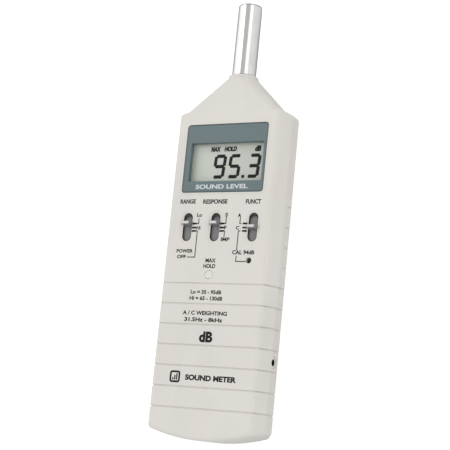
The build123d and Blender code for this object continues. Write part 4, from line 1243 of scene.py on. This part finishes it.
@dataclass
class Display(SubAssembly):
    """The bezel, window and liquid-crystal display with its reading."""

    nodes: ClassVar[tuple[str, ...]] = ("display_bezel", "display_window", "lcd_panel", "lcd_frame",
                                        "zebra_strips")
    reading: str = "95.3"
    digit_centres: tuple[float, ...] = (-4.63, 4.42, 15.97)
    digit_middle_y: float = 25.8
    digit_width: float = 5.55
    digit_height: float = 11.5
    stroke: float = 1.9
    lean: float = 0.085
    point_centre: Spot = (10.05, 20.05)
    point_size: Spot = (1.7, 1.7)
    readout_z: float = 21.7
    readout_thickness: float = 0.05
    lettering: tuple[Caption, ...] = (
        Caption("MAX", (-7.7, 35.5), (5.7, 2.8), Weight.HEAVY, 0.1),
        Caption("HOLD", (1.3, 35.5), (7.4, 2.8), Weight.HEAVY, 0.1),
        Caption("dB", (17.7, 35.3), (3.7, 3.2), Weight.HEAVY, 0.12),
    )
    bezel_title: Caption = Caption("SOUND LEVEL", (-0.2, 13.8), (31.3, 2.5), Weight.PLAIN)
    bezel_top_z: float = 25.45

    SEGMENTS: ClassVar[dict[str, str]] = {"9": "abcdfg", "5": "acdfg", "3": "abcdg"}

    def build(self) -> None:
        """Models the reading and the bezel's title."""
        digits = [self.digit(figure, x)
                  for figure, x in zip(self.reading.replace(".", ""), self.digit_centres)]
        point = bar(self.point_centre, self.point_size, self.readout_z, self.readout_thickness, 0.3)
        reading = join([*digits, point], "display_reading")
        segments = self.finish(SEGMENT_INK)
        ride(reading, "root", segments)
        words = [caption.build(self.readout_z, self.readout_thickness) for caption in self.lettering]
        ride(join(words, "display_legends"), "root", segments)
        title = self.bezel_title.build(self.bezel_top_z - INK_SUNK, INK_THICKNESS + INK_SUNK)
        title = join([title], "print_bezel_title")
        ride(title, "root", self.finish(WHITE_INK))

    def segment(self, length: float) -> bpy.types.Object:
        """One segment, lying along X at the origin: a hexagon drawn out to its length.

        Args:
            length: From tip to tip, in millimetres.

        Returns:
            The flat segment.
        """
        clear_selection()
        bpy.ops.mesh.primitive_circle_add(vertices=6, radius=self.stroke / 2 * MM, fill_type="NGON")
        piece = bpy.context.active_object
        low = min(vertex.co.y for vertex in piece.data.vertices)
        turned = abs(low) < 0.99 * self.stroke / 2 * MM
        if not turned:
            piece.data.transform(Matrix.Rotation(math.radians(90.0), 4, "Z"))
        reach = (length - self.stroke) / 2
        for side in (-1.0, 1.0):
            bpy.ops.object.mode_set(mode="EDIT")
            bpy.ops.mesh.select_all(action="DESELECT")
            bpy.ops.mesh.select_mode(type="VERT")
            mesh = bmesh.from_edit_mesh(piece.data)
            for vertex in mesh.verts:
                vertex.select = vertex.co.x * side > 0.05 * MM
            bmesh.update_edit_mesh(piece.data)
            bpy.ops.transform.translate(value=(side * reach * MM, 0.0, 0.0))
            bpy.ops.object.mode_set(mode="OBJECT")
        grow = self.stroke / (2 * max(vertex.co.y for vertex in piece.data.vertices)) * MM
        piece.data.transform(Matrix.Diagonal((1.0, grow, 1.0, 1.0)))
        return piece

    def digit(self, figure: str, x: float) -> bpy.types.Object:
        """One seven-segment figure in place.

        Args:
            figure: What it shows.
            x: Its middle at half height, in millimetres.

        Returns:
            The figure.
        """
        half_width, half_height = self.digit_width / 2, self.digit_height / 4
        upright = math.radians(90.0)
        places = {
            "a": (0.0, 2 * half_height, 0.0), "g": (0.0, 0.0, 0.0), "d": (0.0, -2 * half_height, 0.0),
            "f": (-half_width, half_height, upright), "b": (half_width, half_height, upright),
            "e": (-half_width, -half_height, upright), "c": (half_width, -half_height, upright),
        }
        level = self.segment(self.digit_width - 0.25)
        standing = self.segment(self.digit_height / 2 - 0.15)
        slant = Matrix.Identity(4)
        slant[0][1] = self.lean
        where = Matrix.Translation(Vector((x, self.digit_middle_y, self.readout_z)) * MM)
        pieces = []
        for letter in self.SEGMENTS[figure]:
            across, up, turn = places[letter]
            source = standing if turn else level
            copy = source.copy()
            copy.data = source.data.copy()
            bpy.context.scene.collection.objects.link(copy)
            copy.data.transform(where @ slant @ Matrix.Translation(Vector((across, up, 0.0)) * MM)
                                @ Matrix.Rotation(turn, 4, "Z"))
            thicken(copy, self.readout_thickness)
            pieces.append(copy)
        for source in (level, standing):
            bpy.data.objects.remove(source)
        return join(pieces, "figure")


@dataclass
class Controls(SubAssembly):
    """The slide switches, their knobs, the push button and the trimmer."""

    nodes: ClassVar[tuple[str, ...]] = (
        "range_switch", "response_switch", "function_switch", "range_slider", "response_slider",
        "function_slider", "range_knob", "response_knob", "function_knob", "max_hold_button",
        "hold_switch", "hold_switch_plunger", "cal_trimmer", "cal_trimmer_rotor")
    slot_columns: tuple[float, ...] = (-18.75, -2.0, 20.35)
    slot_middle_y: float = -8.1
    slot_size: Spot = (5.36, 15.36)
    # Painted shade: black liners put where the slots are in shade.
    shade_liner_z: tuple[float, float] = (23.6, 24.62)
    shade_liner_side: float = 0.1
    shade_liner_ends: tuple[float, float] = (0.35, 1.5)

    def build(self) -> None:
        """Lines each slot with a black ring that stands in for the shade in the slot, deeper at the top
        end: painted shade.
        """
        width, length = self.slot_size
        low, high = self.shade_liner_z
        bottom, top = self.shade_liner_ends
        inner_y = self.slot_middle_y + (bottom - top) / 2
        inner_width, inner_length = width - 2 * self.shade_liner_side, length - bottom - top
        rings = []
        for x in self.slot_columns:
            ring = bar((x, self.slot_middle_y), self.slot_size, low, high - low, width / 2 - 0.01)
            opening = bar((x, inner_y), (inner_width, inner_length), low - 0.5, high - low + 1.0,
                          inner_width / 2 - 0.01)
            cut_away(ring, opening)
            rings.append(ring)
        # These black rings are painted shade for the slots.
        ride(join(rings, "slot_shade_liners"), "root", self.finish(BLACK_NYLON))


@dataclass
class Microphone(SubAssembly):
    """The microphone tube with its grid, capsule, preamplifier, seal and wires."""

    nodes: ClassVar[tuple[str, ...]] = (
        "microphone_tube", "microphone_grid", "microphone_capsule", "capsule_insulator",
        "capsule_contact", "preamp_board", "microphone_o_ring", "microphone_leads")
    tube_radius: float = 6.6
    foot_shade_y: float = 78.72
    foot_shade_rim: float = 0.42
    foot_shade_thickness: float = 0.4
    seam_y: float = 119.15
    seam_radii: Spot = (6.0, 6.61)
    seam_thickness: float = 0.5

    def build(self) -> None:
        """Lays a thin black ring round the foot of the tube as painted shade for the gap there, and a
        dull seam round its tip.
        """
        # Painted shade: a black ring where the gap at the foot of the tube is in shade.
        radii = (self.tube_radius + 0.02, self.tube_radius + self.foot_shade_rim)
        foot_shade_ring = washer("microphone_foot_shade_ring", (0.0, self.foot_shade_y, AXIS_Z), 90.0, "X", radii,
                        self.foot_shade_thickness)
        ride(foot_shade_ring, "root", self.finish(BLACK_NYLON))
        seam = washer("grid_seam", (0.0, self.seam_y, AXIS_Z), 90.0, "X", self.seam_radii,
                      self.seam_thickness)
        ride(seam, "root", self.finish(FINISHES["screw_steel"]))


@dataclass
class Electronics(SubAssembly):
    """The main board, what stands on it and the output socket."""

    nodes: ClassVar[tuple[str, ...]] = (
        "main_board", "processor_chip", "amplifier_chips", "voltage_regulator",
        "electrolytic_capacitors", "quartz_crystal", "board_screws", "output_jack")
    nose_place: tuple[float, float, float] = (33.57, -77.1, 13.5)
    nose_radii: Spot = (1.8, 2.75)

    def build(self) -> None:
        """Rings the nose of the output socket with its pale rim."""
        rim = washer("socket_rim", self.nose_place, 90.0, "Y", self.nose_radii, 0.1)
        ride(rim, "root", self.finish(WHITE_NYLON))


@dataclass
class PowerSupply(SubAssembly):
    """The battery, its clip, wires and foam pad."""

    nodes: ClassVar[tuple[str, ...]] = ("battery", "battery_snap", "battery_leads", "battery_pad")


# ---- studio -------------------------------------------------------------------------------


@dataclass
class SoftBox:
    """One soft light of the studio.

    Args:
        name: Its name.
        place: Where it stands, in metres.
        aim: What it points at, in metres.
        size: Its width and height, in metres.
        power: Its power in watts.
    """

    name: str
    place: tuple[float, float, float]
    aim: tuple[float, float, float]
    size: Spot
    power: float

    def build(self) -> None:
        """Sets the light up."""
        lamp = bpy.data.lights.new(self.name, "AREA")
        lamp.shape = "RECTANGLE"
        lamp.size, lamp.size_y = self.size
        lamp.energy = self.power
        stand = bpy.data.objects.new(self.name, lamp)
        bpy.context.scene.collection.objects.link(stand)
        stand.location = self.place
        way = Vector(self.aim) - Vector(self.place)
        stand.rotation_euler = way.to_track_quat("-Z", "Y").to_euler()
        LOG.info("light %s", self.name)


@dataclass
class Studio:
    """The camera, the pale floor, the soft lights and the surroundings that the tube mirrors."""

    camera_place: tuple[float, float, float] = (0.29768, -0.12585, 0.57079)
    camera_turn: tuple[float, float, float] = (13.744, 27.078, 6.233)
    lens: float = 95.69
    sensor: float = 36.0
    floor_size: float = 6.0
    floor_drop: float = 0.3
    surround: float = 0.985
    lights: tuple[SoftBox, ...] = (
        SoftBox("key_softbox", (-0.75, 0.35, 0.95), (0.0, 0.0, 0.01), (0.7, 0.9), 1.5),
        SoftBox("edge_softbox", (0.76, 0.16, 0.44), (0.02, 0.0, 0.015), (0.16, 1.0), 1.05),
    )
    bands: tuple[tuple[float, float], ...] = (
        (-180.0, 0.70), (-104.0, 0.70), (-96.0, 1.12), (-24.0, 1.12), (-15.0, 0.54), (24.0, 0.54),
        (31.0, 1.2), (54.0, 1.2), (61.0, 0.78), (120.0, 0.78), (180.0, 0.70))

    def build(self) -> None:
        """Sets up the camera, the floor, the lights and the surroundings."""
        self.set_camera()
        self.lay_floor()
        for light in self.lights:
            light.build()
        self.hang_surroundings()
        bpy.context.scene.view_settings.view_transform = "Standard"

    def set_camera(self) -> None:
        """Places the camera above the face, a little to the right."""
        lens = bpy.data.cameras.new("studio_camera")
        lens.lens = self.lens
        lens.sensor_width = self.sensor
        lens.clip_start = 0.01
        camera = bpy.data.objects.new("studio_camera", lens)
        bpy.context.scene.collection.objects.link(camera)
        camera.location = self.camera_place
        camera.rotation_euler = Euler([math.radians(angle) for angle in self.camera_turn], "XYZ")
        bpy.context.scene.camera = camera

    def lay_floor(self) -> None:
        """Lays the paper sweep: a flat sheet just under the object."""
        clear_selection()
        bpy.ops.mesh.primitive_plane_add(size=self.floor_size,
                                         location=(0.0, 0.0, -self.floor_drop * MM))
        floor = bpy.context.active_object
        floor.name = "studio_floor"
        floor.data.transform(floor.matrix_world)
        floor.matrix_world = Matrix.Identity(4)
        floor.data.materials.append(StudioFloor("white_paper", (0.74, 0.74, 0.74), 0.6).material())

    def hang_surroundings(self) -> None:
        """Lights the world in soft bands that run along the tube, as boxes and cards would."""
        world = bpy.data.worlds.new("studio_surround")
        bpy.context.scene.world = world
        world.use_nodes = True
        nodes, links = world.node_tree.nodes, world.node_tree.links
        background = nodes["Background"]
        way = nodes.new("ShaderNodeTexCoord").outputs["Generated"]
        split = nodes.new("ShaderNodeSeparateXYZ")
        links.new(way, split.inputs["Vector"])
        angle = nodes.new("ShaderNodeMath")
        angle.operation = "ARCTAN2"
        links.new(split.outputs["X"], angle.inputs[0])
        links.new(split.outputs["Z"], angle.inputs[1])
        share = nodes.new("ShaderNodeMapRange")
        links.new(angle.outputs[0], share.inputs["Value"])
        share.inputs["From Min"].default_value = -math.pi
        share.inputs["From Max"].default_value = math.pi
        ramp = nodes.new("ShaderNodeValToRGB")
        links.new(share.outputs["Result"], ramp.inputs["Fac"])
        stops = ramp.color_ramp.elements
        peak = max(level for _, level in self.bands)
        for index, (degrees, level) in enumerate(self.bands):
            position = (degrees + 180.0) / 360.0
            stop = stops[index] if index < 2 else stops.new(position)
            stop.position = position
            stop.color = (*([level / peak] * 3), 1.0)
        links.new(ramp.outputs["Color"], background.inputs["Color"])
        background.inputs["Strength"].default_value = self.surround * peak


def main() -> None:
    """Builds and dresses every group in order and sets up the studio."""
    logging.basicConfig(level=logging.INFO, format="%(message)s")
    groups = (CaseShells(), FacePrint(), Display(), Controls(), Microphone(), Electronics(),
              PowerSupply())
    for group in groups:
        group.dress()
        group.build()
    Studio().build()
    clear_selection()


if __name__ == "__main__":
    main()
